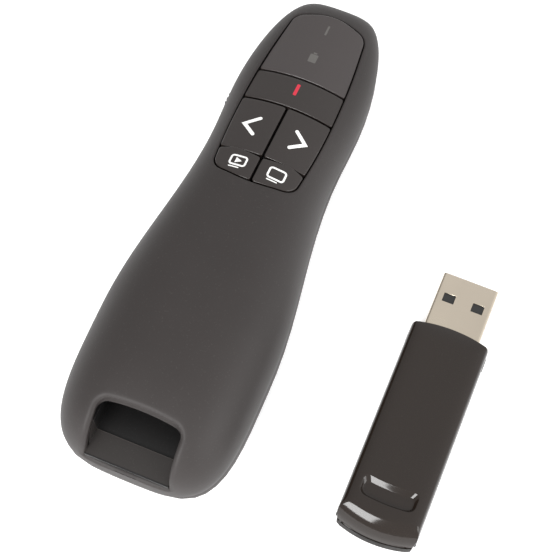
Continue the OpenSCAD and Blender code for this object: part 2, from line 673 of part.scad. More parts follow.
// A cross wall or a pair of side walls round the battery well
module well_end(y0, l, h) {
    translate([-well_half - well_t, y0, 0]) cube([2 * (well_half + well_t), l, h]);
}
module well_sides(y0, y1, t, h) {
    for (x = [-well_half - t, well_half]) translate([x, y0, 0]) cube([t, y1 - y0, h]);
}
module lower_shell() {
    track_half = cover_half + tongue_w + cover_fit;
    color([0.31, 0.29, 0.28]) difference() {
        union() {
            difference() {
                half_form(-1);
                half_form(-1, wall, eps);
            }
            intersection() {
                half_form(-1, wall / 2);
                union() {
                    for (p = screw_places) boss(p, 0, part_z);
                    well_sides(well_y0 - well_t, well_y1 + well_t, well_t, part_z);
                    well_sides(-end_y, cover_y1 + well_t, rail_t, rail_h);
                    well_end(-end_y, well_y0 + end_y, rail_h);
                    well_end(well_y0 - well_t, well_t, part_z);
                    well_end(well_y1, well_t, part_z);
                    for (y = [barrel_y0 + cradle_in, barrel_y1 - cradle_in])
                        translate([-cradle_w / 2, y - cradle_t / 2, 0])
                            cube([cradle_w, cradle_t, laser_z - 0.8]);
                }
            }
            for (u = [-post_u, post_u], v = post_vs) board_post(u, v);
        }
        translate([-cover_half - cover_fit, -end_y - eps, -eps]) cube([2 * (cover_half + cover_fit),
            cover_y1 + cover_fit + end_y + eps, cover_t + cover_fit + eps]);
        translate([-track_half, -end_y - eps, tongue_z - cover_fit])
            cube([2 * track_half, tongue_ys[1] + tongue_l + 2 * cover_fit + end_y + eps,
                cover_t - tongue_z + 2 * cover_fit]);
        translate([-well_half, well_y0, -eps]) cube([2 * well_half, well_y1 - well_y0, part_z]);
        for (p = screw_places) translate([p[0], p[1], -eps]) {
            cylinder(d = screw_d + 2 * screw_fit, h = part_z + 2 * eps, $fn = 24);
            cylinder(d = head_d + 0.4, h = seat_z + eps, $fn = 32);
        }
        along_y(barrel_y0, barrel_y1) circle(d = barrel_d + 2 * optic_fit, $fn = 48);
        bezel_hole();
    }
}
// A post under the board, with a pin into the board's hole
module board_post(u, v) {
    y = panel_mid_y + v * cos(panel_tilt) - (board_top + board_t) * sin(panel_tilt);
    top = board_under(y + post_d / 2);
    translate([u, y, wall]) cylinder(d = post_d, h = top - wall, $fn = 24);
    on_panel() translate([u, v, -board_top - board_t - eps])
        cylinder(d = pin_d, h = board_t + eps - 0.1, $fn = 16);
}

// ---- Receiver: its own frame starts at the middle of its tail, and the plug points to +Y --------
plug_tip_y = 8.9;          // the plug's tip lies level with the handset's small keys
recv_y = plug_tip_y - recv_l - plug_l;
seam_z = 3.3;              // where its base and cover meet
rim_out = 0.4;             // how far the base's rim stands out at the seam, on both sides
rim_h = 1.1;
body_half = recv_w / 2 - rim_out;
tail_r = 2.2;              // radius of the body's tail corners, and its bowed tail and front
end_bow = 24;
front_r = 1;
shoulder = 2.05;           // where the front corners' middles lie behind the front
tail_drop = 4.2;           // length and low edge of the rounded drop at the tail
tail_low = 1.8;
drop_turn = 72;            // it starts at a crease, this far round the curve
nose_l = 5;                // the front's slope down to the plug
nose_drop = 1.2;
shell_t = 1;
plug_t = 0.3;
plug_in = 5;               // how far the plug's shell reaches into the body
board_z = 2.4;             // the receiver's own board
small_board_t = 0.8;
small_board_y = 8;
small_fit = 0.3;
module in_receiver() { translate([recv_x, recv_y, 0]) children(); }
module recv_plan() {
    intersection() {
        hull() {
            for (s = [-1, 1]) {
                translate([s * (body_half - tail_r), tail_r]) circle(r = tail_r, $fn = 64);
                translate([s * (body_half - front_r), recv_l - shoulder]) circle(r = front_r, $fn = 32);
            }
            translate([-body_half / 2, recv_l - eps]) square([body_half, eps]);
            translate([-body_half / 2, 0]) square([body_half, eps]);
        }
        translate([0, recv_l - end_bow]) circle(r = end_bow, $fn = 180);
        translate([0, end_bow]) circle(r = end_bow, $fn = 180);
    }
}
// Seen from the side: x is along the receiver and y is up
module recv_side() {
    n = 10;
    polygon(concat(
        [[0, 0]],
        [for (k = [0 : n]) let (a = drop_turn * k / n)
            [tail_drop * (1 - cos(a)) / (1 - cos(drop_turn)),
             tail_low + (recv_h - tail_low) * sin(a) / sin(drop_turn)]],
        [for (k = [0 : n]) let (t = k / n) [recv_l - nose_l + nose_l * t, recv_h - nose_drop * t * t]],
        [[recv_l, 0]]));
}
// Seen along its length
module recv_section() {
    n = 12;
    power = 2 / 3.6;
    chamfer = 1;
    polygon(concat(
        [[-body_half, seam_z], [-body_half, chamfer], [chamfer - body_half, 0]],
        [[body_half - chamfer, 0], [body_half, chamfer], [body_half, seam_z]],
        [for (k = [1 : 2 * n - 1]) let (a = 90 * k / n, up = pow(sin(a), power))
            [body_half * sign(cos(a)) * pow(abs(cos(a)), power), seam_z + (recv_h - seam_z) * up]]));
}
// The receiver's outer form, drawn in by e
module recv_form(e = 0) {
    intersection() {
        linear_extrude(recv_h + 1) offset(delta = -e) recv_plan();
        translate([-recv_w, 0, 0]) rotate([90, 0, 90])
            linear_extrude(2 * recv_w) offset(delta = -e) recv_side();
        translate([0, recv_l + 1, 0]) rotate([90, 0, 0])
            linear_extrude(recv_l + 2) offset(delta = -e) recv_section();
    }
}
module band(z0, z1) { translate([-recv_w, -recv_l, z0]) cube([2 * recv_w, 3 * recv_l, z1 - z0]); }
hole_fit = 0.05;
module plug_hole() {
    translate([-plug_w / 2 - hole_fit, recv_l - plug_in - hole_fit, plug_low - hole_fit])
        cube([plug_w + 2 * hole_fit, plug_in + hole_fit + eps, plug_h + 2 * hole_fit]);
}
// The thumb grip is a shallow pit in its back, deepest along its forward wall
grip_y = 6.4;
grip_l = 4.3;
grip_w = 11.7;
grip_r = 1.2;
grip_deep = 0.8;
grip_wall = 1.2;           // the forward wall and the two ends slope this far
module grip_slab(z, l, w, r) {
    translate([0, 0, z]) linear_extrude(0.01) hull() for (s = [-1, 1], y = [r, l - r])
        translate([s * (w / 2 - r), grip_y + y]) circle(r = r, $fn = 24);
}
module receiver_cover() {
    pit_z = recv_h - grip_deep;
    color([0.22, 0.21, 0.2]) in_receiver() difference() {
        intersection() {
            recv_form();
            band(seam_z, recv_h + 1);
        }
        difference() {
            intersection() {
                recv_form(shell_t);
                band(seam_z - eps, recv_h);
            }
            translate([-grip_w / 2 - shell_t, grip_y - shell_t, pit_z - shell_t])
                cube([grip_w + 2 * shell_t, grip_l + 2 * shell_t, recv_h]);
        }
        plug_hole();
        hull() {
            grip_slab(recv_h + 0.2, grip_l, grip_w, grip_r);
            grip_slab(pit_z, grip_l - grip_wall, grip_w - grip_wall, grip_r / 2);
        }
    }
}
rest_ys = [12, recv_l - 14];      // two ribs across the base carry the board
nub_from_front = 2;        // a nub on each side near the front, then a gap, then the rim
nub_l = 2.6;
nub_out = 0.5;
nub_gap = 0.6;
nub_y = recv_l - nub_from_front - nub_l;
// A piece that stands out of one side under the seam
module side_rib(side, out, y, l) {
    translate([side > 0 ? body_half - eps : -body_half - out, y, seam_z - rim_h])
        cube([out + eps, l, rim_h]);
}
module receiver_base() {
    color([0.16, 0.16, 0.16]) in_receiver() {
        difference() {
            intersection() {
                recv_form();
                band(0, seam_z);
            }
            intersection() {
                recv_form(shell_t);
                band(shell_t, seam_z + eps);
            }
            plug_hole();
        }
        for (y = rest_ys) translate([-body_half + shell_t / 2, y, shell_t / 2])
            cube([2 * body_half - shell_t, 1, board_z - shell_t / 2]);
        for (s = [-1, 1]) {
            side_rib(s, nub_out, nub_y, nub_l);
            side_rib(s, rim_out, tail_r, nub_y - nub_gap - tail_r);
        }
    }
}
module receiver_board() {
    half = body_half - shell_t - small_fit;
    color([0.1, 0.35, 0.2]) in_receiver() translate([-half, small_board_y, board_z])
        cube([2 * half, recv_l - plug_in - small_fit - small_board_y, small_board_t]);
}
small_chips = [[-2.5, 23, 5, 5, 0.9], [-4.8, 15, 3.2, 2.5, 0.8], [2, 31, 3, 3, 0.8]];    // place, sizes
module receiver_chips() {
    color([0.12, 0.12, 0.13]) in_receiver() for (c = small_chips)
        translate([c[0], c[1], board_z + small_board_t]) cube([c[2], c[3], c[4]]);
}
window_w = 2.5;            // the two latch windows in each face of the plug
window_len = 1.95;
window_x = 3.15;
window_from_tip = 5.3;
plug_r = 0.6;
module plug_shell() {
    inside_r = plug_r - plug_t;
    flat_w = plug_w - 2 * plug_r;
    flat_h = plug_h - 2 * plug_r;
    y0 = recv_l - plug_in;
    y1 = recv_l + plug_l;
    color([0.75, 0.71, 0.65]) in_receiver() difference() {
        translate([0, y1, plug_low + plug_h / 2]) rotate([90, 0, 0]) linear_extrude(y1 - y0) difference() {
            offset(r = plug_r, $fn = 32) square([flat_w, flat_h], center = true);
            offset(r = inside_r, $fn = 32) square([flat_w, flat_h], center = true);
        }
        for (s = [-1, 1]) translate([s * window_x - window_w / 2, y1 - window_from_tip - window_len / 2, 0])
            cube([window_w, window_len, recv_h]);
    }
}
tongue_t = 1.9;            // the insulating tongue, and the block that it grows from
tongue_gap = 0.05;
tongue_fit = 0.2;
block_l = 3.5;
tongue_z1 = plug_low + plug_h - plug_t - tongue_gap;     // it lies behind the plug's upper face
module plug_tongue() {
    half = plug_w / 2 - plug_t - tongue_gap - tongue_fit;
    block_t = plug_h - 2 * plug_t - 2 * tongue_gap;
    color([0.1, 0.1, 0.1]) in_receiver() translate([-half, recv_l - plug_in + tongue_fit, tongue_z1]) {
        translate([0, 0, -tongue_t]) cube([2 * half, plug_in + plug_l - 1, tongue_t]);
        translate([0, 0, -block_t]) cube([2 * half, block_l, block_t]);
    }
}
finger_w = 1;
finger_t = 0.12;
finger_from_body = 2.4;
finger_end = 1.6;
module plug_contacts() {
    color([0.85, 0.7, 0.35]) in_receiver() for (x = [-3.5, -1, 1, 3.5])
        translate([x - finger_w / 2, recv_l + finger_from_body, tongue_z1 - tongue_t - finger_t])
            cube([finger_w, plug_l - finger_from_body - finger_end, finger_t]);
}

upper_shell();
lower_shell();
battery_cover();
receiver_tray();
key_frame();
status_window();
light_guide();
status_leds();
laser_key();
back_key();
next_key();
play_key();
blank_key();
laser_stem();
back_stem();
next_stem();
play_stem();
blank_stem();
key_switches();
main_board();
board_chips();
laser_barrel();
laser_lens();
laser_diode();
laser_bezel();
power_knob();
power_lever();
power_switch();
left_cell();
right_cell();
cell_springs();
cell_contacts();
case_screws();
receiver_base();
receiver_cover();
plug_shell();
plug_tongue();
plug_contacts();
receiver_board();
receiver_chips();
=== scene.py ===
"""Looks of a wireless presentation clicker and its USB receiver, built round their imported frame.

Everything is in metres in the frame's own axes: +Z up, +Y towards the clicker's head.
Lengths written as a number times MM are millimetres.
"""
import math

import bmesh
import bpy
import numpy as np
from bpy.props import FloatProperty, FloatVectorProperty, IntProperty, PointerProperty
from mathutils import Matrix, Vector
from mathutils.geometry import convex_hull_2d, delaunay_2d_cdt
from mathutils.kdtree import KDTree


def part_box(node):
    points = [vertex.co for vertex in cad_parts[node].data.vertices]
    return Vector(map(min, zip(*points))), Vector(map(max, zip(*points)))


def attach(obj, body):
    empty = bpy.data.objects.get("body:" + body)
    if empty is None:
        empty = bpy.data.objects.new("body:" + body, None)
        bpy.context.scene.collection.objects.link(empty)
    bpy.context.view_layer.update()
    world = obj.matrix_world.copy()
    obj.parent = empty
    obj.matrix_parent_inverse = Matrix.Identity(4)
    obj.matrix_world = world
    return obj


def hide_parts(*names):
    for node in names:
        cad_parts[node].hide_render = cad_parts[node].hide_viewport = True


bl_info = {
    "name": "Presentation clicker",
    "version": (1, 0, 0),
    "blender": (4, 5, 0),
    "location": "View3D > Sidebar > Clicker",
    "description": "Smooth shells, keys, printed signs, finishes and studio for the packed clicker",
    "category": "Object",
}

MM = 0.001
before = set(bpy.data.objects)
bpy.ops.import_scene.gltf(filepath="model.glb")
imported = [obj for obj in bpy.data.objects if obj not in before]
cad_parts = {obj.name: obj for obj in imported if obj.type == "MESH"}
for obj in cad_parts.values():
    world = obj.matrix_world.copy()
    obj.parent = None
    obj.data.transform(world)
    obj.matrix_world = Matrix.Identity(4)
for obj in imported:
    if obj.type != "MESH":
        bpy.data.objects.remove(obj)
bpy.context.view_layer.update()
back_low, back_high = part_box("upper_shell")
recv_low, recv_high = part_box("receiver_base")
cover_low, cover_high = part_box("receiver_cover")


# ---- Sizes and colours that a user would change ----------------------------------------------

def length(name, description, default, soft_max=0.2):
    return FloatProperty(name=name, description=description, default=default, min=0.0,
                         soft_max=soft_max, unit="LENGTH", precision=5)


def colour(name, description, default):
    return FloatVectorProperty(name=name, description=description, default=(*default, 1.0), size=4,
                               min=0.0, max=1.0, subtype="COLOR_GAMMA")


def angle(name, description, degrees):
    return FloatProperty(name=name, description=description, default=math.radians(degrees),
                         unit="ROTATION")


class CasingSizes(bpy.types.PropertyGroup):
    tail_w: length("Tail width", "Greatest width, across the tail", 37.6 * MM)
    waist_w: length("Waist width", "Width at the waist", 28.6 * MM)
    head_w: length("Head width", "Greatest width of the head", 29.6 * MM)
    crown_h: length("Crown height", "Height of the crown over the tail", 26.4 * MM)
    head_h: length("Head height", "Height that the ridge falls to at the head", 15 * MM)
    part_z: length("Seam height", "Height of the plane where the shells meet", back_low.z)
    wall: length("Wall", "Thickness of the shell", 1.8 * MM)
    mouth_l: length("Mouth length", "Length of the receiver bay's open mouth", 9.85 * MM)
    mouth_w: length("Mouth width", "Width of the receiver bay's open mouth", 17.8 * MM)
    mouth_corner: length("Mouth corner", "Radius of the mouth's forward corners", 2.0 * MM)
    mouth_bow: length("Mouth bow", "How far the mouth's forward edge bows out", 0.6 * MM)
    mouth_round: length("Mouth rounding", "Rounding of the mouth's edge", 1.0 * MM)
    panel_round: length("Panel rounding", "Rounding of the edge round the keys", 0.28 * MM)
    fineness: IntProperty(name="Fineness", description="Sections along the shell", default=150,
                          min=40, max=300)


class PanelSizes(bpy.types.PropertyGroup):
    width: length("Panel width", "Width of the key panel", 20.6 * MM)
    from_head: length("From head", "Distance from the tip of the head to the panel", 4.9 * MM)
    window_l: length("Window length", "Length of the status window", 19.4 * MM)
    laser_l: length("Laser key length", "Length of the laser key", 8.2 * MM)
    arrow_l: length("Arrow key length", "Length of the back and next keys", 14 * MM)
    small_l: length("Small key length", "Length of the play and blank keys", 6.7 * MM)
    key_gap: length("Key gap", "Gap between two keys", 0.5 * MM)
    edge_gap: length("Edge gap", "Gap between the keys and the shell", 0.35 * MM)
    key_t: length("Key thickness", "Thickness of a key", 1.6 * MM)
    corner: length("Key corner", "Radius of a key's corners in plan", 0.42 * MM)
    end_corner: length("End corner", "Radius of the panel's own corners", 3.4 * MM)
    edge_round: length("Key rounding", "Rounding of the edge of a key", 0.22 * MM)


class SignSizes(bpy.types.PropertyGroup):
    raised: length("Print thickness", "How far a printed sign stands on its key", 0.02 * MM)
    arrow_stroke: length("Arrow stroke", "Width of the two arrows' strokes", 0.78 * MM)
    fine_stroke: length("Fine stroke", "Width of the small signs' lines", 0.4 * MM)
    red_w: length("Red sign width", "Width of the laser key's sign", 0.72 * MM)
    red_l: length("Red sign length", "Length of the laser key's sign", 3.1 * MM)


class ReceiverSizes(bpy.types.PropertyGroup):
    tail_drop: length("Tail drop", "Length of the rounded drop at the tail", 4.2 * MM)
    edge_round: length("Edge rounding", "Rounding of the crease where the drop starts", 0.12 * MM)
    grip_w: length("Grip width", "Width of the thumb grip", 11.7 * MM)
    grip_l: length("Grip length", "Length of the thumb grip", 4.3 * MM)
    grip_deep: length("Grip depth", "Depth of the thumb grip", 1.0 * MM)
    grip_y: length("Grip from tail", "Distance from the tail to the thumb grip", 6.4 * MM)


class Colours(bpy.types.PropertyGroup):
    casing: colour("Casing", "Soft-touch casing", (0.170, 0.154, 0.150))
    keys: colour("Keys", "Key caps", (0.148, 0.126, 0.118))
    window: colour("Window", "Status window", (0.205, 0.183, 0.180))
    bay: colour("Bay", "Lining of the receiver's bay", (0.066, 0.062, 0.062))
    ledge: colour("Ledge", "Ledge in the mouth of the bay", (0.165, 0.152, 0.146))
    gloss: colour("Receiver", "Glossy top of the receiver", (0.121, 0.095, 0.078))
    nickel: colour("Plug", "Nickel of the USB plug", (0.73, 0.69, 0.63))
    white_print: colour("White print", "Signs on the keys", (0.90, 0.90, 0.89))
    red_print: colour("Red print", "Sign on the laser key", (0.74, 0.12, 0.21))


class StudioLook(bpy.types.PropertyGroup):
    azimuth: angle("Azimuth", "Camera's turn round the object", 21.55)
    elevation: angle("Elevation", "Camera's height over the table", 67.4)
    roll: angle("Roll", "Camera's turn about its own axis", 0.9)
    distance: length("Distance", "From the camera to its aim", 297.8 * MM, 2.0)
    aim_x: FloatProperty(name="Aim X", description="Where the camera looks on the table",
                         default=10.3 * MM, unit="LENGTH")
    aim_y: FloatProperty(name="Aim Y", description="Where the camera looks on the table",
                         default=-3.7 * MM, unit="LENGTH")
    lens: FloatProperty(name="Lens", description="Focal length of the camera", default=89.36,
                        unit="CAMERA")


# ---- Curves and outlines ---------------------------------------------------------------------

def lerp(a, b, t):
    return a + (b - a) * t


def clamp01(t):
    return min(1.0, max(0.0, t))


def ease(t):
    return (1 - math.cos(math.pi * clamp01(t))) / 2


def cap(t, n):
    """1 at t = 0, rounding down to 0 at t = 1; with a higher n it stays full for longer."""
    return max(0.0, 1 - clamp01(t) ** n) ** (1 / n)


def arc(centre, radius, start, end, steps):
    """Points on a circle from one angle to another, in degrees."""
    return [(centre[0] + radius * math.cos(math.radians(lerp(start, end, k / steps))),
             centre[1] + radius * math.sin(math.radians(lerp(start, end, k / steps))))
            for k in range(steps + 1)]


def hull_of(circles):
    """Outline round circles given as (x, y, radius), anticlockwise."""
    points = [p for x, y, r in circles for p in arc((x, y), r, 0, 352.5, 47)]
    return [points[i] for i in convex_hull_2d(points)]


def rounded_box(x0, y0, x1, y1, r, steps=6):
    """Outline of a box with round corners."""
    return (arc((x1 - r, y0 + r), r, -90, 0, steps) + arc((x1 - r, y1 - r), r, 0, 90, steps)
            + arc((x0 + r, y1 - r), r, 90, 180, steps) + arc((x0 + r, y0 + r), r, 180, 270, steps))


def even(loop, spacing):
    """The closed loop again, anticlockwise, with points about that far apart."""
    p = np.array(loop, float)
    if np.sum(p[:, 0] * np.roll(p[:, 1], -1) - np.roll(p[:, 0], -1) * p[:, 1]) < 0:
        p = p[::-1]
    q = np.vstack([p, p[:1]])
    along = np.concatenate([[0], np.cumsum(np.hypot(*np.diff(q, axis=0).T))])
    count = max(8, int(round(along[-1] / spacing)))
    at = np.arange(count) * along[-1] / count
    return list(zip(np.interp(at, along, q[:, 0]), np.interp(at, along, q[:, 1])))


def grow(loop, distance):
    """An anticlockwise loop moved outwards, or inwards where distance is negative."""
    p = np.array(loop, float)
    run = np.roll(p, -1, 0) - np.roll(p, 1, 0)
    run /= np.maximum(np.hypot(*run.T), 1e-12)[:, None]
    return [tuple(q) for q in p + distance * np.stack([run[:, 1], -run[:, 0]], 1)]


def stroke(points, width):
    """Outline of a line through points, with round ends and mitred bends."""
    r = width / 2
    p = [Vector(q) for q in points]
    sides = []
    for order in (p, p[::-1]):
        side = []
        for i in range(1, len(order) - 1):
            a = (order[i] - order[i - 1]).normalized()
            b = (order[i + 1] - order[i]).normalized()
            na, nb = Vector((a.y, -a.x)), Vector((b.y, -b.x))
            side.append(tuple(order[i] + (na + nb) * (r / (1 + na.dot(nb)))))
        last = (order[-1] - order[-2]).normalized()
        turn = math.degrees(math.atan2(last.y, last.x))
        sides += side + arc(order[-1], r, turn - 90, turn + 90, 10)
    return sides


# ---- Meshes from sheets and bands ------------------------------------------------------------

def inside(points, loop):
    """Which of the points lie inside a closed loop."""
    p, a = np.asarray(points, float), np.asarray(loop, float)
    b = np.roll(a, -1, 0)
    hit = np.zeros(len(p), bool)
    for (x0, y0), (x1, y1) in zip(a, b):
        if y0 != y1:
            crosses = (p[:, 1] > y0) != (p[:, 1] > y1)
            hit ^= crosses & (p[:, 0] < x0 + (p[:, 1] - y0) * (x1 - x0) / (y1 - y0))
    return hit


def fill(outer, holes, extra, gap):
    """Points and triangles between a closed loop and the holes in it. The loops' points come
    first and in order, then the extra ones that stand further than gap from every loop."""
    loops = [outer, *holes]
    coords, edges = [], []
    for loop in loops:
        start = len(coords)
        coords += [tuple(p) for p in loop]
        edges += [(start + i, start + (i + 1) % len(loop)) for i in range(len(loop))]
    near = KDTree(len(coords))
    for i, p in enumerate(coords):
        near.insert((p[0], p[1], 0), i)
    near.balance()
    if len(extra):
        keep = inside(extra, outer)
        for hole in holes:
            keep &= ~inside(extra, hole)
        coords += [tuple(p) for p, k in zip(extra, keep) if k and near.find((p[0], p[1], 0))[2] > gap]
    found = delaunay_2d_cdt([Vector(p) for p in coords], edges, [], 0, 1e-9)
    came_from = [ids[0] if ids else -1 for ids in found[3]]
    faces = np.array([[came_from[i] for i in f] for f in found[2] if len(f) == 3])
    faces = faces[(faces >= 0).all(1)]
    middles = np.array(coords)[faces].mean(1)
    keep = inside(middles, outer)
    for hole in holes:
        keep &= ~inside(middles, hole)
    return coords, faces[keep].tolist()


def grid(x0, y0, x1, y1, step):
    """Points of a triangular grid over a box."""
    nx, ny = max(2, round((x1 - x0) / step)), max(2, round((y1 - y0) / step))
    return [(lerp(x0, x1, (i + 0.5 * (j % 2)) / nx), lerp(y0, y1, j / ny))
            for j in range(ny + 1) for i in range(nx + 1)]


class Piece:
    """The vertices and faces of one piece while it is put together."""

    def __init__(self):
        self.points, self.faces = [], []

    def add(self, points):
        start = len(self.points)
        self.points += [tuple(p) for p in points]
        return list(range(start, len(self.points)))

    def sheet(self, outer, holes, extra, gap, place):
        """A filled sheet; place turns its flat points into points in space. Gives the indices of
        each loop's points."""
        coords, faces = fill(outer, holes, extra, gap)
        ids = self.add(place(p) for p in coords)
        self.faces += [[ids[i] for i in f] for f in faces]
        rims, start = [], 0
        for loop in [outer, *holes]:
            rims.append(ids[start:start + len(loop)])
            start += len(loop)
        return rims

    def band(self, a, b):
        """Faces between two closed rings of the same count."""
        n = len(a)
        self.faces += [[a[i], a[(i + 1) % n], b[(i + 1) % n], b[i]] for i in range(n)]

    def rings(self, first, rows):
        """Bands from a ring through further rows of points; gives the last ring."""
        for row in rows:
            after = self.add(row)
            self.band(first, after)
            first = after
        return first

    def cover(self, ring, loop, extra, gap, place):
        """Closes a ring with a filled sheet over its flat loop."""
        coords, faces = fill(loop, [], extra, gap)
        ids = list(ring) + self.add(place(p) for p in coords[len(ring):])
        self.faces += [[ids[i] for i in f] for f in faces]

    def lid(self, ring):
        self.faces.append(list(ring))

    def block(self, low, high, place):
        """A closed box between two corners of a local frame."""
        corners = self.add(place(Vector((x, y, z))) for z in (low[2], high[2])
                           for x, y in ((low[0], low[1]), (high[0], low[1]),
                                        (high[0], high[1]), (low[0], high[1])))
        self.lid(corners[3::-1])
        self.band(corners[:4], corners[4:])
        self.lid(corners[4:])

    def build(self, name, body, finish, stands_for=()):
        mesh = bpy.data.meshes.new(name)
        mesh.from_pydata([Vector(p) for p in self.points], [], self.faces)
        work = bmesh.new()
        work.from_mesh(mesh)
        bmesh.ops.remove_doubles(work, verts=work.verts, dist=1e-7)
        bmesh.ops.dissolve_degenerate(work, dist=1e-8, edges=work.edges)
        bmesh.ops.recalc_face_normals(work, faces=work.faces)
        for face in work.faces:
            face.smooth = True
        work.to_mesh(mesh)
        work.free()
        piece = bpy.data.objects.new(name, mesh)
        bpy.context.scene.collection.objects.link(piece)
        mesh.materials.append(finish)
        settle(piece, body, stands_for)
        return piece


def settle(piece, body, stands_for=()):
    """Ties a finished piece to its body and hides the nodes it stands for."""
    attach(piece, body)
    if stands_for:
        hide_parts(*stands_for)


def crisp(piece, degrees):
    """Smooth shading that breaks only at edges sharper than this."""
    split = piece.modifiers.new("Sharp edges", "EDGE_SPLIT")
    split.split_angle = math.radians(degrees)
    weigh = piece.modifiers.new("Even shading", "WEIGHTED_NORMAL")
    weigh.keep_sharp = True


# ---- The casing's form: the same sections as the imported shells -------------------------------

BLUNT = 0.9992            # the last section stands just short of the tip
TUCK = 0.022              # how far the flank draws in at the seam, as a share
BACK_POWER = 2.7
TAIL_WIDE, HEAD_WAIST, HEAD_WIDE = 29 * MM, 41.25 * MM, 27.75 * MM
TAIL_CROWN, HEAD_ROUND = 31.75 * MM, 12 * MM


class BackForm:
    """The back of the casing, from its sizes."""

    def __init__(self, sizes):
        self.s = sizes
        self.end = back_high.y / BLUNT
        self.wide_y = TAIL_WIDE - self.end
        self.waist_y = self.end - HEAD_WAIST
        self.head_y = self.end - HEAD_WIDE
        self.crown_y = TAIL_CROWN - self.end
        self.round_y = self.end - HEAD_ROUND

    def half_w(self, y, e):
        """Half the width at y, drawn in by e."""
        s, tip = self.s, self.end - e
        if y < self.wide_y:
            return (s.tail_w / 2 - e) * cap((self.wide_y - y) / (self.wide_y + tip), 4.2)
        if y < self.waist_y:
            t = ease((y - self.wide_y) / (self.waist_y - self.wide_y))
            return lerp(s.tail_w, s.waist_w, t) / 2 - e
        if y < self.head_y:
            t = ease((y - self.waist_y) / (self.head_y - self.waist_y))
            return lerp(s.waist_w, s.head_w, t) / 2 - e
        t = clamp01((y - self.head_y) / (tip - self.head_y))
        return (s.head_w / 2 * (1 - 0.35 * t * t) - e) * cap(t, 6)

    def ridge(self, y):
        """Height of the middle line, up to the head's own rounding."""
        fall = max(0.0, y - self.crown_y) / (self.end - self.crown_y)
        return self.s.crown_h - (self.s.crown_h - self.s.head_h) * fall ** 1.4

    def rise(self, y, e):
        """Height of the back over the seam, on the middle line."""
        tip = self.end - e
        if y < self.crown_y:
            k = cap((self.crown_y - y) / (self.crown_y + tip), 3)
        else:
            k = cap((y - self.round_y) / (tip - self.round_y), 2.8)
        return (self.ridge(y) - e - self.s.part_z) * k

    def height(self, x, y, e=0.0):
        return self.s.part_z + self.rise(y, e) * cap(abs(x) / max(self.half_w(y, e), 1e-9), BACK_POWER)

    def point(self, place, e=0.0):
        """A place (t, a) on the back, drawn in by e: t runs from tail to head, from 0 to 1, and a
        across from the left seam to the right, from 0 to pi."""
        t, a = place
        y = -(self.end - e) * BLUNT * math.cos(math.pi * t)
        up = max(0.0, math.sin(a)) ** (2 / BACK_POWER)
        draw = 1 - TUCK * max(0.0, 1 - up / 0.3) ** 2
        c = math.cos(a)
        x = -self.half_w(y, e) * math.copysign(abs(c) ** (2 / BACK_POWER), c) * draw
        return Vector((x, y, self.s.part_z + self.rise(y, e) * up))

    def along(self, y, e):
        """The t of the places at y."""
        return math.acos(max(-1.0, min(1.0, -y / ((self.end - e) * BLUNT)))) / math.pi

    def place_at(self, x, y, e=0.0):
        """The place over a point of the plan."""
        share = clamp01(abs(x) / self.half_w(y, e)) ** (BACK_POWER / 2)
        return self.along(y, e), math.acos(math.copysign(share, -x))

    def flank_place(self, y, z, e=0.0):
        """The place on the left flank at a height."""
        up = clamp01((z - self.s.part_z) / self.rise(y, e)) ** (BACK_POWER / 2)
        return self.along(y, e), math.asin(up)

    def tail_place(self, x, z, e=0.0):
        """The place on the tail's end at a height."""
        low, high = -(self.end - e) * BLUNT, self.crown_y
        for _ in range(48):
            y = (low + high) / 2
            if abs(x) >= self.half_w(y, e) or self.height(x, y, e) < z:
                low = y
            else:
                high = y
        return self.place_at(x, high, e)

    def frame_at(self, place, e=0.0):
        """Two steps along the surface and its outward normal."""
        t, a = place
        h = 1e-4
        along = (self.point((t + h, a), e) - self.point((t - h, a), e)) / (2 * h)
        across = (self.point((t, a + h), e) - self.point((t, a - h), e)) / (2 * h)
        return along, across, across.cross(along).normalized()


SIDE_BOW, TOP_BOW, LOW_BOW = 165 * MM, 12.7 * MM, 25 * MM      # radii of the panel's bowed outline


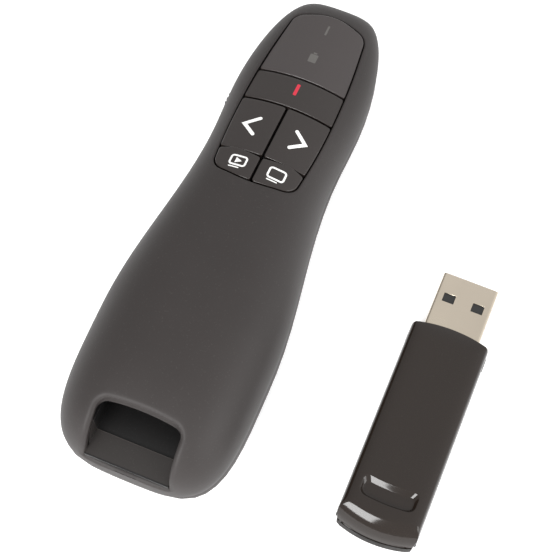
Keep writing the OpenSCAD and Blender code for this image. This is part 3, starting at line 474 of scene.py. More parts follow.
class KeyPanel:
    """The tilted frame that the keys lie in: u across, v towards the head, w out of the back."""

    def __init__(self, sizes, form):
        self.s, self.form = sizes, form
        top_y = form.end - sizes.from_head
        self.length = sizes.window_l + sizes.laser_l + sizes.arrow_l + sizes.small_l
        low_y = top_y - self.length
        tilt = math.atan((form.ridge(low_y) - form.ridge(top_y)) / self.length)
        middle = ((top_y + low_y) / 2, (form.ridge(top_y) + form.ridge(low_y)) / 2)
        self.matrix = Matrix.Translation((0, *middle)) @ Matrix.Rotation(-tilt, 4, "X")
        self.top, self.low = self.length / 2, -self.length / 2
        self.laser_v1 = self.top - sizes.window_l
        self.laser_v0 = self.laser_v1 - sizes.laser_l
        self.arrow_v0 = self.laser_v0 - sizes.arrow_l
        self.wide_v = self.laser_v0 + 0.5 * MM
        half = sizes.width / 2
        fall = form.rise(middle[0], 0) - (form.height(half, middle[0]) - form.s.part_z)
        self.radius = (half ** 2 + fall ** 2) / (2 * fall)

    def drop(self, u):
        """How far the crown falls at u from its middle line."""
        return self.radius - math.sqrt(self.radius ** 2 - u * u)

    def at(self, u, v, w=0.0):
        return self.matrix @ Vector((u, v, w))

    def edge_u(self, v):
        """Half the width of the panel at v."""
        return self.s.width / 2 - (v - self.wide_v) ** 2 / (2 * SIDE_BOW)

    def outline(self, v0, v1, side=0, inset=None, radius=None):
        """Outline between two lines across the panel, on one side of it or on both."""
        e = self.s.edge_gap if inset is None else inset
        r = self.s.corner if radius is None else radius
        big = self.s.end_corner - e
        half_gap = self.s.key_gap / 2
        inner = half_gap + r
        low, high = v0 + inner, v1 - inner
        ends = []           # each bowed end: its corner's middle, its line, way and bow
        if v0 <= self.low:
            ends.append((*self.corner_at(v0, 1, LOW_BOW, e, big), v0, 1, LOW_BOW))
            low = ends[-1][1]
        if v1 >= self.top:
            ends.append((*self.corner_at(v1, -1, TOP_BOW, e, big), v1, -1, TOP_BOW))
            high = ends[-1][1]
        circles = []
        for s in ((-1, 1) if side == 0 else (side,)):
            for k in range(13):
                v = lerp(low, high, k / 12)
                circles.append((s * (self.edge_u(v) - e - r), v, r))
            for corner_u, corner_v, line, way, bow in ends:
                circles.append((s * corner_u, corner_v, big))
                for k in range(13):
                    u = lerp(inner, corner_u, k / 12)
                    circles.append((s * u, line + way * (e + r + u * u / (2 * bow)), r))
            if v1 < self.top:
                circles.append((s * inner, high, r))
            if v0 > self.low:
                circles.append((s * inner, low, r))
        return hull_of(circles)

    def corner_at(self, line, way, bow, e, radius):
        """Middle of the round corner between a bowed end of the panel and its side."""
        v = line
        for _ in range(6):
            u = self.edge_u(v) - e - radius
            v = line + way * (e + radius + u * u / (2 * bow))
        return u, v

    def place_under(self, u, v, e):
        """The place of the back, drawn in by e, that lies straight under a point of the panel."""
        w = 0.0
        normal = self.matrix.to_3x3() @ Vector((0, 0, 1))
        for _ in range(12):
            p = self.at(u, v, w)
            w += (self.form.height(p.x, p.y, e) - p.z) / normal.z
        p = self.at(u, v, w)
        return self.form.place_at(p.x, p.y, e)


# ---- The back shell --------------------------------------------------------------------------

FLAT_T, FLAT_A = 120.0, 19.0     # the size that places are spread to while a sheet is filled


def flat(place):
    return place[0] * FLAT_T, place[1] * FLAT_A


def unflat(p):
    return p[0] / FLAT_T, p[1] / FLAT_A


def rounded_edge(form, places, radius, steps=4):
    """The rounding of an opening's edge: where it leaves the back, as places, and the rows of
    points from there round into the opening."""
    points = [form.point(p) for p in places]
    centre = sum(points, Vector()) / len(points)
    outer, rows = [], [[] for _ in range(steps)]
    for i, place in enumerate(places):
        along, across, normal = form.frame_at(place)
        run = (points[(i + 1) % len(points)] - points[i - 1]).normalized()
        away = run.cross(normal).normalized()
        if away.dot(points[i] - centre) < 0:
            away = -away

        def slid(distance):
            m = np.array([along, across]).T
            step = np.linalg.lstsq(m, np.array(away * distance), rcond=None)[0]
            return place[0] + step[0], place[1] + step[1]

        outer.append(slid(radius))
        for k in range(1, steps + 1):
            turn = math.pi / 2 * k / steps
            rows[k - 1].append(form.point(slid(radius * (1 - math.sin(turn))))
                               - normal * (radius * (1 - math.cos(turn))))
    return outer, rows


def mouth_places(form, e):
    """The edge of the bay's mouth: its front, its two sides, and a level line on the tail."""
    s = form.s
    half, corner = s.mouth_w / 2, s.mouth_corner
    front = s.mouth_l - form.end
    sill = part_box("receiver_tray")[0].z
    right = arc((half - corner, front - corner), corner, 90, 0, 14)
    left = [(-x, y) for x, y in reversed(right)]
    tail_t = form.tail_place(half, sill, e)[0]
    tail_y = form.point((tail_t, 0.0), e).y
    rows = 16
    down = [(half, lerp(front - corner, tail_y, k / rows)) for k in range(1, rows)]
    across = [form.tail_place(lerp(half, -half, k / 40), sill, e) for k in range(41)]
    up = [(-x, y) for x, y in reversed(down)]
    ahead = [(lerp(corner - half, half - corner, k / 30), front) for k in range(1, 30)]

    def bowed(points):
        return [form.place_at(x, y + s.mouth_bow * clamp01((y - front + 2 * corner) / (2 * corner))
                              * (1 - (x / half) ** 2), e) for x, y in points]

    return bowed(right + down) + across + bowed(up + left + ahead)


SLOT_L, SLOT_H, SLOT_CORNER, SLOT_ROUND = 7.5 * MM, 2.5 * MM, 0.6 * MM, 0.2 * MM
KNOB_TRAVEL = 2 * MM


def power_slot_places(form, panel, e):
    """The edge of the power switch's slot, in the left flank."""
    knob_low, knob_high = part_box("power_knob")
    y = (knob_low.y + knob_high.y) / 2
    base = panel.matrix.inverted() @ Vector((0, y, (knob_low.z + knob_high.z) / 2))
    half_l, half_h = SLOT_L / 2, SLOT_H / 2
    v = base.y + KNOB_TRAVEL / 2
    loop = even(rounded_box(v - half_l, base.z - half_h, v + half_l, base.z + half_h, SLOT_CORNER),
                0.4 * MM)
    places = []
    for pv, pw in loop:
        p = panel.at(0, pv, pw)
        places.append(form.flank_place(p.y, p.z, e))
    return places


def back_skin(piece, form, e, loops, rows_along, rows_across):
    """One skin of the back, drawn in by e, with holes. Gives the rim at the seam, then the holes'
    rings, and closes the small flat ends."""
    ts = [k / rows_along for k in range(rows_along + 1)]
    angles = [math.pi * k / rows_across for k in range(rows_across + 1)]
    left, right = [(t, 0.0) for t in ts], [(t, math.pi) for t in reversed(ts)]
    head, tail = [(1.0, a) for a in angles[1:-1]], [(0.0, a) for a in reversed(angles[1:-1])]
    border = left + head + right + tail
    inner = [(t, a) for t in ts[1:-1] for a in angles[1:-1]]
    spacing = min(FLAT_T / rows_along, math.pi * FLAT_A / rows_across)
    rims = piece.sheet([flat(p) for p in border], [[flat(p) for p in loop] for loop in loops],
                       [flat(p) for p in inner], 0.55 * spacing,
                       lambda p: form.point(unflat(p), e))
    edge = rims[0]
    n, m = len(left), len(head)
    piece.lid(edge[n - 1:n + m + 1])
    piece.lid([edge[2 * n + m - 1], *edge[2 * n + m:], edge[0]])
    return edge[:n] + edge[n + m:2 * n + m], rims[1:]


def back_shell(finish):
    """The back: two skins, joined at the seam and round the three openings."""
    scene = bpy.context.scene
    form = BackForm(scene.casing_sizes)
    panel = KeyPanel(scene.panel_sizes, form)
    s, wall = form.s, form.s.wall
    outline = panel.outline(panel.low, panel.top, 0, 0.0, panel.s.corner + panel.s.edge_gap)
    plan = even(outline, 0.6 * MM)
    openings = [
        (lambda e: [panel.place_under(u, v, e) for u, v in plan], s.panel_round),
        (lambda e: mouth_places(form, e), s.mouth_round),
        (lambda e: power_slot_places(form, panel, e), SLOT_ROUND),
    ]
    edges = [rounded_edge(form, places(0.0), r) for places, r in openings]
    piece = Piece()
    along = s.fineness
    rim, holes = back_skin(piece, form, 0.0, [outer for outer, _ in edges], along, int(along * 0.62))
    coarse = int(along * 0.4)
    inner_rim, inner_holes = back_skin(piece, form, wall, [places(wall) for places, _ in openings],
                                       along, coarse)
    for hole, inner_hole, (_, rows) in zip(holes, inner_holes, edges):
        piece.band(piece.rings(hole, rows), inner_hole)
    piece.band(rim, inner_rim)
    back = piece.build("casing_back", "handset", finish, ["upper_shell"])
    ring_hole(back, form)
    crisp(back, 50)


RING_HOLE_R = 2.3 * MM


def ring_hole(back, form):
    """Cuts the round hole for the laser's ring through the head."""
    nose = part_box("laser_bezel")
    cutter = Piece()
    middle_z = (nose[0].z + nose[1].z) / 2
    rows = [[(x, y, middle_z + z) for x, z in arc((0, 0), RING_HOLE_R, 0, 352.5, 47)]
            for y in (form.end - 4 * MM, form.end + 2 * MM)]
    first = cutter.add(rows[0])
    last = cutter.rings(first, rows[1:])
    cutter.lid(first[::-1])
    cutter.lid(last)
    mesh = bpy.data.meshes.new("ring_cutter")
    mesh.from_pydata([Vector(p) for p in cutter.points], [], cutter.faces)
    tool = bpy.data.objects.new("ring_cutter", mesh)
    bpy.context.scene.collection.objects.link(tool)
    cut = back.modifiers.new("Ring hole", "BOOLEAN")
    cut.object, cut.operation, cut.solver = tool, "DIFFERENCE", "EXACT"
    apply_modifiers(back)
    bpy.data.objects.remove(tool)


def apply_modifiers(piece):
    """Turns a piece into the mesh that its modifiers give."""
    graph = bpy.context.evaluated_depsgraph_get()
    made = bpy.data.meshes.new_from_object(piece.evaluated_get(graph), depsgraph=graph)
    piece.modifiers.clear()
    old, piece.data = piece.data, made
    bpy.data.meshes.remove(old)
    made.name = piece.name


# ---- Keys, window and the signs on them ------------------------------------------------------

PLUNGER_W, PLUNGER_L = 2 * MM, 4.7 * MM      # under a key; its length is from the panel's crown
ARROW_PLUNGER_U, SMALL_PLUNGER_U, SMALL_PLUNGER_BACK = 5.2 * MM, 4.4 * MM, 0.9 * MM


def key_cap(name, node, body, panel, v0, v1, side, plunger, finish):
    """A key or the window: its top lies on the panel's crown, with a rounded edge."""
    s, spacing = panel.s, 0.35 * MM
    loop = even(panel.outline(v0, v1, side), spacing)
    r = s.edge_round

    def on_top(p, depth=0.0):
        return panel.at(p[0], p[1], -panel.drop(p[0]) - depth)

    piece = Piece()
    us, vs = [p[0] for p in loop], [p[1] for p in loop]
    inner = grid(min(us), min(vs), max(us), max(vs), 2 * spacing)
    top = piece.sheet(grow(loop, -r), [], inner, spacing, on_top)[0]
    rows = []
    for k in range(1, 5):
        turn = math.pi / 2 * k / 4
        rows.append([on_top(p, r * (1 - math.cos(turn)))
                     for p in grow(loop, -r * (1 - math.sin(turn)))])
    rows.append([on_top(p, s.key_t) for p in loop])
    piece.cover(piece.rings(top, rows), loop, inner, spacing, lambda p: on_top(p, s.key_t))
    if plunger:
        half = PLUNGER_W / 2
        u, v = plunger
        piece.block((u - half, v - half, -PLUNGER_L), (u + half, v + half, -panel.drop(u) - s.key_t / 2),
                    lambda p: panel.at(p.x, p.y, p.z))
    crisp(piece.build(name, body, finish, [node]), 50)


def printed(name, body, panel, outlines, finish):
    """Thin printed signs on a key: each is an outline with the holes in it."""
    raised = bpy.context.scene.sign_sizes.raised
    spacing, sunk = 0.09 * MM, 0.08 * MM
    piece = Piece()

    def at_depth(p, depth):
        return panel.at(p[0], p[1], raised - panel.drop(p[0]) - depth)

    for outline, *holes in outlines:
        outer = even(outline, spacing)
        inner = [even(hole, spacing) for hole in holes]
        tops = piece.sheet(outer, inner, [], 0.05 * MM, lambda p: at_depth(p, 0.0))
        lows = piece.sheet(outer, inner, [], 0.05 * MM, lambda p: at_depth(p, sunk))
        for top, low in zip(tops, lows):
            piece.band(top, low)
    crisp(piece.build(name, body, finish), 40)


def frame_sign(u, v, w, h, line):
    """A rounded rectangle drawn as a line."""
    r = 0.75 * MM
    return [rounded_box(u - w / 2, v - h / 2, u + w / 2, v + h / 2, r),
            rounded_box(u - w / 2 + line, v - h / 2 + line, u + w / 2 - line, v + h / 2 - line,
                        r - line)]


def underline(u, v, w, h):
    """The thin line under a small sign, shorter than it and nearer its left end."""
    top = v - h / 2 - 0.3 * MM
    return rounded_box(u - 0.42 * w, top - 0.26 * MM, u + 0.2 * w, top, 0.12 * MM)


# ---- The receiver's top ----------------------------------------------------------------------

TAIL_LOW, TAIL_TURN = 1.8 * MM, 62.0          # where the drop ends, and its turn in degrees
NOSE_L, NOSE_DROP = 5 * MM, 1.2 * MM          # the front's own fall
END_BOW = 24 * MM                             # radius of both ends in plan
TAIL_CORNER, NOSE_CORNER = 2.2 * MM, 1 * MM
COVER_WALL = 1 * MM
SHOULDER = 6.0            # how square the section is
NUBS_SHOWN = 0.13 * MM    # how far the lower half's side nubs stand past the top
GRIP_BOW = 0.6            # the grip's bow, as a share of the tail's
GRIP_CORNER = 1.3 * MM
GRIP_AHEAD, GRIP_REAR, GRIP_SIDE = 1.25 * MM, 0.4 * MM, 0.7 * MM      # how far its walls lean in
EDGE_ROWS = (0.02, 0.06, 0.13, 0.24, 0.4, 0.6, 0.85, 1.15)            # rows of points, in mm


class CoverForm:
    """The receiver's top as a height over its plan, in its own frame with its tail at y = 0."""

    def __init__(self, sizes):
        self.s = sizes
        self.length = recv_high.y - recv_low.y
        self.half = (recv_high.x - recv_low.x) / 2 - NUBS_SHOWN
        self.seam = cover_low.z
        self.top = cover_high.z
        self.middle = Vector(((cover_low.x + cover_high.x) / 2, recv_low.y, 0))

    def bow(self, x):
        """How far the bowed tail and front stand back at x."""
        return END_BOW - math.sqrt(END_BOW ** 2 - x * x)

    def outline(self):
        """The plan: both bowed ends with their corners."""
        circles, n = [], 24
        for k in range(n + 1):
            x = lerp(TAIL_CORNER - self.half, self.half - TAIL_CORNER, k / n)
            circles.append((x, self.bow(x) + TAIL_CORNER, TAIL_CORNER))
        for k in range(n + 1):
            x = lerp(NOSE_CORNER - self.half, self.half - NOSE_CORNER, k / n)
            circles.append((x, self.length - self.bow(x) - NOSE_CORNER, NOSE_CORNER))
        return hull_of(circles)

    def height(self, x, y):
        """Height of the top at a point of the plan, before the thumb grip is pressed in."""
        across = self.seam + (self.top - self.seam) * cap(abs(x) / self.half, SHOULDER)
        back = max(0.0, y - self.bow(x))
        if back < self.s.tail_drop:
            full = math.radians(TAIL_TURN)
            turn = math.acos(clamp01(1 - back / self.s.tail_drop * (1 - math.cos(full))))
            along = TAIL_LOW + (self.top - TAIL_LOW) * math.sin(turn) / math.sin(full)
        else:
            along = self.top + (back - self.s.tail_drop) * 0.35
        ahead = self.length - y
        nose = self.top - NOSE_DROP * max(0.0, 1 - ahead / NOSE_L) ** 2
        # The least of the three, rounded where they meet
        k = self.s.edge_round
        low = -k * math.log(sum(math.exp(-h / k) for h in (across, along, nose + k * 0.7)))
        return max(self.seam, min(across, low + k * 0.05))

    def place(self, x, y, z):
        return self.middle + Vector((x, y, z))


def receiver_top(finish):
    """The receiver's glossy top with its thumb grip, hollow inside."""
    form = CoverForm(bpy.context.scene.receiver_sizes)
    s = form.s
    piece = Piece()
    loop = even(form.outline(), 0.3 * MM)
    # The thumb grip: a ring at its edge, rings down its walls, and its floor
    box = rounded_box(-s.grip_w / 2, s.grip_y, s.grip_w / 2, s.grip_y + s.grip_l, GRIP_CORNER, 10)
    edge = [(x, y + GRIP_BOW * form.bow(x)) for x, y in even(box, 0.25 * MM)]

    def grip_depth(y, share):
        """Depth of the grip, share of the way down its wall: its floor rises to its rear."""
        ahead = clamp01((y - s.grip_y) / s.grip_l)
        return s.grip_deep * lerp(0.6, 1.0, ahead) * lerp(ease(share), share, ahead)

    middle_y = s.grip_y + s.grip_l * 0.40
    rings = []
    steps = 7
    for k in range(1, steps + 1):
        share = k / steps
        ring = []
        for x, y in edge:
            wall_x = GRIP_SIDE * share
            wall_y = (GRIP_AHEAD if y > middle_y else GRIP_REAR) * share
            lean_x = min(1.0, abs(x) / (s.grip_w / 2 - GRIP_CORNER))
            lean_y = math.copysign(min(1.0, abs(y - middle_y) / (s.grip_l * 0.33)), y - middle_y)
            px = x - math.copysign(wall_x * lean_x ** 6, x)
            py = y - wall_y * lean_y
            ring.append((px, py, grip_depth(py, share)))
        rings.append(ring)
    # The sheet's points follow its edge in rows, and a grid lies inside them
    rows = [p for d in EDGE_ROWS for p in grow(loop, -d * MM)]
    spread = rows + grid(-form.half, 0, form.half, form.length, 0.28 * MM)
    extra = rows + np.array(spread)[inside(spread, grow(loop, -1.3 * MM))].tolist()
    top, hole = piece.sheet(loop, [edge], extra, 0.012 * MM,
                            lambda p: form.place(p[0], p[1], form.height(*p)))
    last = piece.rings(hole, [[form.place(x, y, form.height(x, y) - d) for x, y, d in ring]
                              for ring in rings])
    floor = [(x, y) for x, y, _ in rings[-1]]
    piece.cover(last, floor, grid(-s.grip_w / 2, s.grip_y, s.grip_w / 2, s.grip_y + s.grip_l, 0.3 * MM),
                0.15 * MM, lambda p: form.place(*p, form.height(*p) - grip_depth(p[1], 1.0)))
    # Outer wall down to the seam, the rim, and the hollow inside
    outer = piece.rings(top, [[form.place(x, y, form.seam) for x, y in loop]])
    inner_loop = grow(loop, -COVER_WALL)
    ceiling = max(d for _, _, d in rings[-1]) + COVER_WALL
    inner_rim = piece.rings(outer, [[form.place(x, y, form.seam) for x, y in inner_loop]])
    roof = grow(inner_loop, -0.05 * MM)

    def under(p):
        return form.place(*p, max(form.seam + 0.01 * MM, form.height(*p) - ceiling))

    piece.cover(piece.rings(inner_rim, [[under(p) for p in roof]]), roof,
                grid(-form.half, 0, form.half, form.length, 1.2 * MM), 0.5 * MM, under)
    crisp(piece.build("receiver_top", "receiver", finish, ["receiver_cover"]), 55)


# ---- Geometry Nodes for what repeats ---------------------------------------------------------

SCREW_HEAD_R, SCREW_HEAD_H, FORWARD_SCREW_X = 1.8 * MM, 1.4 * MM, 8.9 * MM
CONTACT_XS = (-3.5 * MM, -1 * MM, 1 * MM, 3.5 * MM)          # from the plug's middle


class Tree:
    """A small Geometry Nodes tree under construction."""

    def __init__(self, name, inputs):
        self.group = bpy.data.node_groups.new(name, "GeometryNodeTree")
        self.group.interface.new_socket("Geometry", in_out="INPUT", socket_type="NodeSocketGeometry")
        for label, kind, value in inputs:
            socket = self.group.interface.new_socket(label, in_out="INPUT", socket_type=kind)
            if value is not None:
                socket.default_value = value
        self.group.interface.new_socket("Geometry", in_out="OUTPUT", socket_type="NodeSocketGeometry")
        self.start = self.group.nodes.new("NodeGroupInput")
        self.end = self.group.nodes.new("NodeGroupOutput")

    def add(self, kind, inputs=None, **settings):
        node = self.group.nodes.new(kind)
        for key, value in settings.items():
            setattr(node, key, value)
        for key, value in (inputs or {}).items():
            socket = node.inputs[key]
            if isinstance(value, bpy.types.NodeSocket):
                self.group.links.new(value, socket)
            else:
                socket.default_value = value
        return node

    def take(self, label):
        return self.start.outputs[label]

    def finish(self, geometry, material):
        real = self.add("GeometryNodeRealizeInstances", {"Geometry": geometry})
        paint = self.add("GeometryNodeSetMaterial", {"Geometry": real.outputs[0], "Material": material})
        self.group.links.new(paint.outputs[0], self.end.inputs[0])


def points_object(name, points):
    """An object that has only points."""
    mesh = bpy.data.meshes.new(name)
    mesh.from_pydata([Vector(p) for p in points], [], [])
    made = bpy.data.objects.new(name, mesh)
    bpy.context.scene.collection.objects.link(made)
    return made


def grown(name, tree, points, values, body, stands_for=()):
    """Runs a tree on points and keeps the result as a plain mesh."""
    piece = points_object(name, points)
    modifier = piece.modifiers.new("Build", "NODES")
    modifier.node_group = tree.group
    sockets = {i.name: i.identifier for i in tree.group.interface.items_tree if i.in_out == "INPUT"}
    for label, value in values.items():
        modifier[sockets[label]] = value
    apply_modifiers(piece)
    for face in piece.data.polygons:
        face.use_smooth = True
    settle(piece, body, stands_for)
    crisp(piece, 35)


def screw_tree():
    """Screws on points: a bevelled head with a cross slot, and a threaded shank above it."""
    tree = Tree("Case screws", [("Head diameter", "NodeSocketFloat", 2 * SCREW_HEAD_R),
                                ("Head height", "NodeSocketFloat", SCREW_HEAD_H),
                                ("Shank diameter", "NodeSocketFloat", 2 * MM),
                                ("Shank length", "NodeSocketFloat", 7.5 * MM),
                                ("Slot width", "NodeSocketFloat", 0.45 * MM),
                                ("Thread turns", "NodeSocketInt", 9),
                                ("Finish", "NodeSocketMaterial", None)])
    add, take = tree.add, tree.take

    def maths(operation, a, b):
        return add("ShaderNodeMath", {0: a, 1: b}, operation=operation).outputs[0]

    def vector(x=0.0, y=0.0, z=0.0):
        return add("ShaderNodeCombineXYZ", {0: x, 1: y, 2: z}).outputs[0]

    head_r = maths("MULTIPLY", take("Head diameter"), 0.5)
    head_h = take("Head height")
    # The head: a disc, and below it one that narrows
    head = add("GeometryNodeMeshCone", {"Vertices": 40, "Side Segments": 1, "Fill Segments": 1,
                                        "Radius Top": head_r,
                                        "Radius Bottom": maths("MULTIPLY", head_r, 0.86),
                                        "Depth": maths("MULTIPLY", head_h, 0.25)}, fill_type="NGON")
    low_part = add("GeometryNodeTransform", {"Geometry": head.outputs["Mesh"],
                                             "Translation": vector(z=maths("MULTIPLY", head_h, -1.0))})
    rim = add("GeometryNodeMeshCylinder", {"Vertices": 40, "Radius": head_r,
                                           "Depth": maths("MULTIPLY", head_h, 0.75)}, fill_type="NGON")
    high_part = add("GeometryNodeTransform", {"Geometry": rim.outputs["Mesh"],
                                              "Translation": vector(z=maths("MULTIPLY", head_h, -0.375))})
    solid_head = add("GeometryNodeMeshBoolean", {}, operation="UNION")
    tree.group.links.new(low_part.outputs[0], solid_head.inputs["Mesh 2"])
    tree.group.links.new(high_part.outputs[0], solid_head.inputs["Mesh 2"])
    slots = []
    for turn in (0.0, math.pi / 2):
        bar = add("GeometryNodeMeshCube", {"Size": vector(take("Shank diameter"), take("Slot width"),
                                                          maths("MULTIPLY", head_h, 1.2))})
        slots.append(add("GeometryNodeTransform", {
            "Geometry": bar.outputs["Mesh"], "Rotation": (0.0, 0.0, turn),
            "Translation": vector(z=maths("MULTIPLY", head_h, -1.0))}).outputs[0])
    cut = add("GeometryNodeMeshBoolean", {"Mesh 1": solid_head.outputs["Mesh"]}, operation="DIFFERENCE")
    for bar in slots:
        tree.group.links.new(bar, cut.inputs["Mesh 2"])
    shank_r = maths("MULTIPLY", take("Shank diameter"), 0.5)
    shank = add("GeometryNodeMeshCylinder", {"Vertices": 24, "Radius": maths("MULTIPLY", shank_r, 0.84),
                                             "Depth": take("Shank length")}, fill_type="NGON")
    half_up = maths("MULTIPLY", take("Shank length"), 0.5)
    shank_up = add("GeometryNodeTransform", {"Geometry": shank.outputs["Mesh"],
                                             "Translation": vector(z=half_up)})
    coil = add("GeometryNodeCurveSpiral", {"Resolution": 20, "Rotations": take("Thread turns"),
                                           "Start Radius": maths("MULTIPLY", shank_r, 0.86),
                                           "End Radius": maths("MULTIPLY", shank_r, 0.86),
                                           "Height": maths("MULTIPLY", take("Shank length"), 0.92)})
    ridge = add("GeometryNodeCurvePrimitiveCircle",
                {"Resolution": 5, "Radius": maths("MULTIPLY", shank_r, 0.13)}, mode="RADIUS")
    thread = add("GeometryNodeCurveToMesh", {"Curve": coil.outputs["Curve"],
                                             "Profile Curve": ridge.outputs["Curve"], "Fill Caps": True})
    screw = add("GeometryNodeJoinGeometry", {})
    for part in (cut.outputs["Mesh"], shank_up.outputs[0], thread.outputs[0]):
        tree.group.links.new(part, screw.inputs[0])
    copies = add("GeometryNodeInstanceOnPoints", {"Points": take("Geometry"),
                                                  "Instance": screw.outputs[0]})
    tree.finish(copies.outputs[0], take("Finish"))
    return tree


def finger_tree():
    """Contact fingers on points: a flat strip with round edges and a slight bow."""
    tree = Tree("Contact fingers", [("Length", "NodeSocketFloat", 8 * MM),
                                    ("Width", "NodeSocketFloat", 1 * MM),
                                    ("Thickness", "NodeSocketFloat", 0.12 * MM),
                                    ("Finish", "NodeSocketMaterial", None)])
    add, take = tree.add, tree.take
    strip = add("GeometryNodeCurvePrimitiveLine", {"Start": (0.0, 0.0, 0.0)}, mode="POINTS")
    end = add("ShaderNodeCombineXYZ", {1: take("Length")})
    tree.group.links.new(end.outputs[0], strip.inputs["End"])
    fine = add("GeometryNodeResampleCurve", {"Curve": strip.outputs[0], "Count": 24})
    share = add("GeometryNodeSplineParameter")
    bend = add("ShaderNodeMapRange", {"Value": share.outputs["Factor"], "From Min": 0.0, "From Max": 1.0,
                                      "To Min": 0.0, "To Max": math.pi})
    wave = add("ShaderNodeMath", {0: bend.outputs[0]}, operation="SINE")
    lift = add("ShaderNodeMath", {0: wave.outputs[0], 1: take("Thickness")}, operation="MULTIPLY")
    lifted = add("ShaderNodeMath", {0: lift.outputs[0], 1: -0.5}, operation="MULTIPLY")
    offset = add("ShaderNodeCombineXYZ", {2: lifted.outputs[0]})
    curved = add("GeometryNodeSetPosition", {"Geometry": fine.outputs[0], "Offset": offset.outputs[0]})
    section = add("GeometryNodeCurvePrimitiveQuadrilateral",
                  {"Width": take("Width"), "Height": take("Thickness")}, mode="RECTANGLE")
    soft = add("GeometryNodeFilletCurve", {"Curve": section.outputs[0], "Radius": 0.05 * MM, "Count": 3},
               mode="POLY")
    finger = add("GeometryNodeCurveToMesh", {"Curve": curved.outputs[0], "Profile Curve": soft.outputs[0],
                                             "Fill Caps": True})
    copies = add("GeometryNodeInstanceOnPoints", {"Points": take("Geometry"),
                                                  "Instance": finger.outputs[0]})
    tree.finish(copies.outputs[0], take("Finish"))
    return tree


# ---- Finishes --------------------------------------------------------------------------------

def new_group(name, inputs, outputs):
    group = bpy.data.node_groups.new(name, "ShaderNodeTree")
    for label, kind, value in inputs:
        socket = group.interface.new_socket(label, in_out="INPUT", socket_type=kind)
        socket.default_value = value
    for label, kind in outputs:
        group.interface.new_socket(label, in_out="OUTPUT", socket_type=kind)
    return group, group.nodes.new("NodeGroupInput"), group.nodes.new("NodeGroupOutput")


def put(tree, kind, inputs=None, **settings):
    """Adds a node, sets it up and wires its inputs."""
    node = tree.nodes.new(kind)
    for key, value in settings.items():
        setattr(node, key, value)
    for key, value in (inputs or {}).items():
        if isinstance(value, bpy.types.NodeSocket):
            tree.links.new(value, node.inputs[key])
        else:
            node.inputs[key].default_value = value
    return node


def moulded_grain():
    """Fine moulded or painted grain: a height for the bump, and a tone for small colour shifts."""
    group, start, end = new_group("Moulded grain", [
        ("Place", "NodeSocketVector", (0, 0, 0)), ("Grain size", "NodeSocketFloat", 0.12),
        ("Patch size", "NodeSocketFloat", 14.0)],
        [("Height", "NodeSocketFloat"), ("Tone", "NodeSocketFloat")])
    place = start.outputs["Place"]
    grains, patches = (
        put(group, "ShaderNodeMath", {0: 1000.0, 1: start.outputs[size]}, operation="DIVIDE").outputs[0]
        for size in ("Grain size", "Patch size"))       # both sizes are in millimetres
    fine = put(group, "ShaderNodeTexNoise", {"Vector": place, "Scale": grains, "Detail": 3.0,
                                             "Roughness": 0.6})
    pits = put(group, "ShaderNodeTexVoronoi", {"Vector": place, "Scale": grains}, feature="SMOOTH_F1")
    both = put(group, "ShaderNodeMix", {"Factor": 0.45, "A": fine.outputs["Fac"],
                                        "B": pits.outputs["Distance"]}, data_type="FLOAT")
    tone = put(group, "ShaderNodeTexNoise", {"Vector": place, "Scale": patches, "Detail": 4.0,
                                             "Roughness": 0.55})
    group.links.new(both.outputs["Result"], end.inputs["Height"])
    group.links.new(tone.outputs["Fac"], end.inputs["Tone"])
    return group


def handling_wear():
    """Handled plastic: a colour shifted by tone and flecked with dust, and a roughness to suit."""
    group, start, end = new_group("Handling and dust", [
        ("Place", "NodeSocketVector", (0, 0, 0)), ("Colour", "NodeSocketColor", (0.1, 0.1, 0.1, 1)),
        ("Tone", "NodeSocketFloat", 0.5), ("Shift", "NodeSocketFloat", 0.1),
        ("Roughness", "NodeSocketFloat", 0.5), ("Rubbing", "NodeSocketFloat", 0.08),
        ("Dust", "NodeSocketFloat", 0.02)],
        [("Colour", "NodeSocketColor"), ("Roughness", "NodeSocketFloat")])
    given = start.outputs

    def maths(operation, a, b, c=0.0):
        return put(group, "ShaderNodeMath", {0: a, 1: b, 2: c}, operation=operation).outputs[0]

    gain = put(group, "ShaderNodeMapRange", {
        "Value": given["Tone"], "From Min": 0.3, "From Max": 0.7,
        "To Min": maths("SUBTRACT", 1.0, given["Shift"]), "To Max": maths("ADD", 1.0, given["Shift"])})
    toned = put(group, "ShaderNodeVectorMath", {0: given["Colour"]}, operation="SCALE")
    group.links.new(gain.outputs[0], toned.inputs["Scale"])
    specks = put(group, "ShaderNodeTexNoise", {"Vector": given["Place"], "Scale": 2600.0, "Detail": 2.0})
    sparse = put(group, "ShaderNodeMapRange", {"Value": specks.outputs["Fac"], "From Min": 0.62,
                                               "From Max": 0.72})
    dusty = put(group, "ShaderNodeMix", {"A": toned.outputs[0], "B": (0.45, 0.43, 0.40, 1.0)},
                data_type="RGBA")
    group.links.new(maths("MULTIPLY", sparse.outputs[0], given["Dust"]), dusty.inputs["Factor"])
    rub = maths("SUBTRACT", given["Tone"], 0.5)
    rubbed = maths("MULTIPLY_ADD", rub, given["Rubbing"], given["Roughness"])
    group.links.new(dusty.outputs["Result"], end.inputs["Colour"])
    group.links.new(rubbed, end.inputs["Roughness"])
    return group


LEDGE_L = 5.5 * MM        # the ledge's length, from the tray's tail end


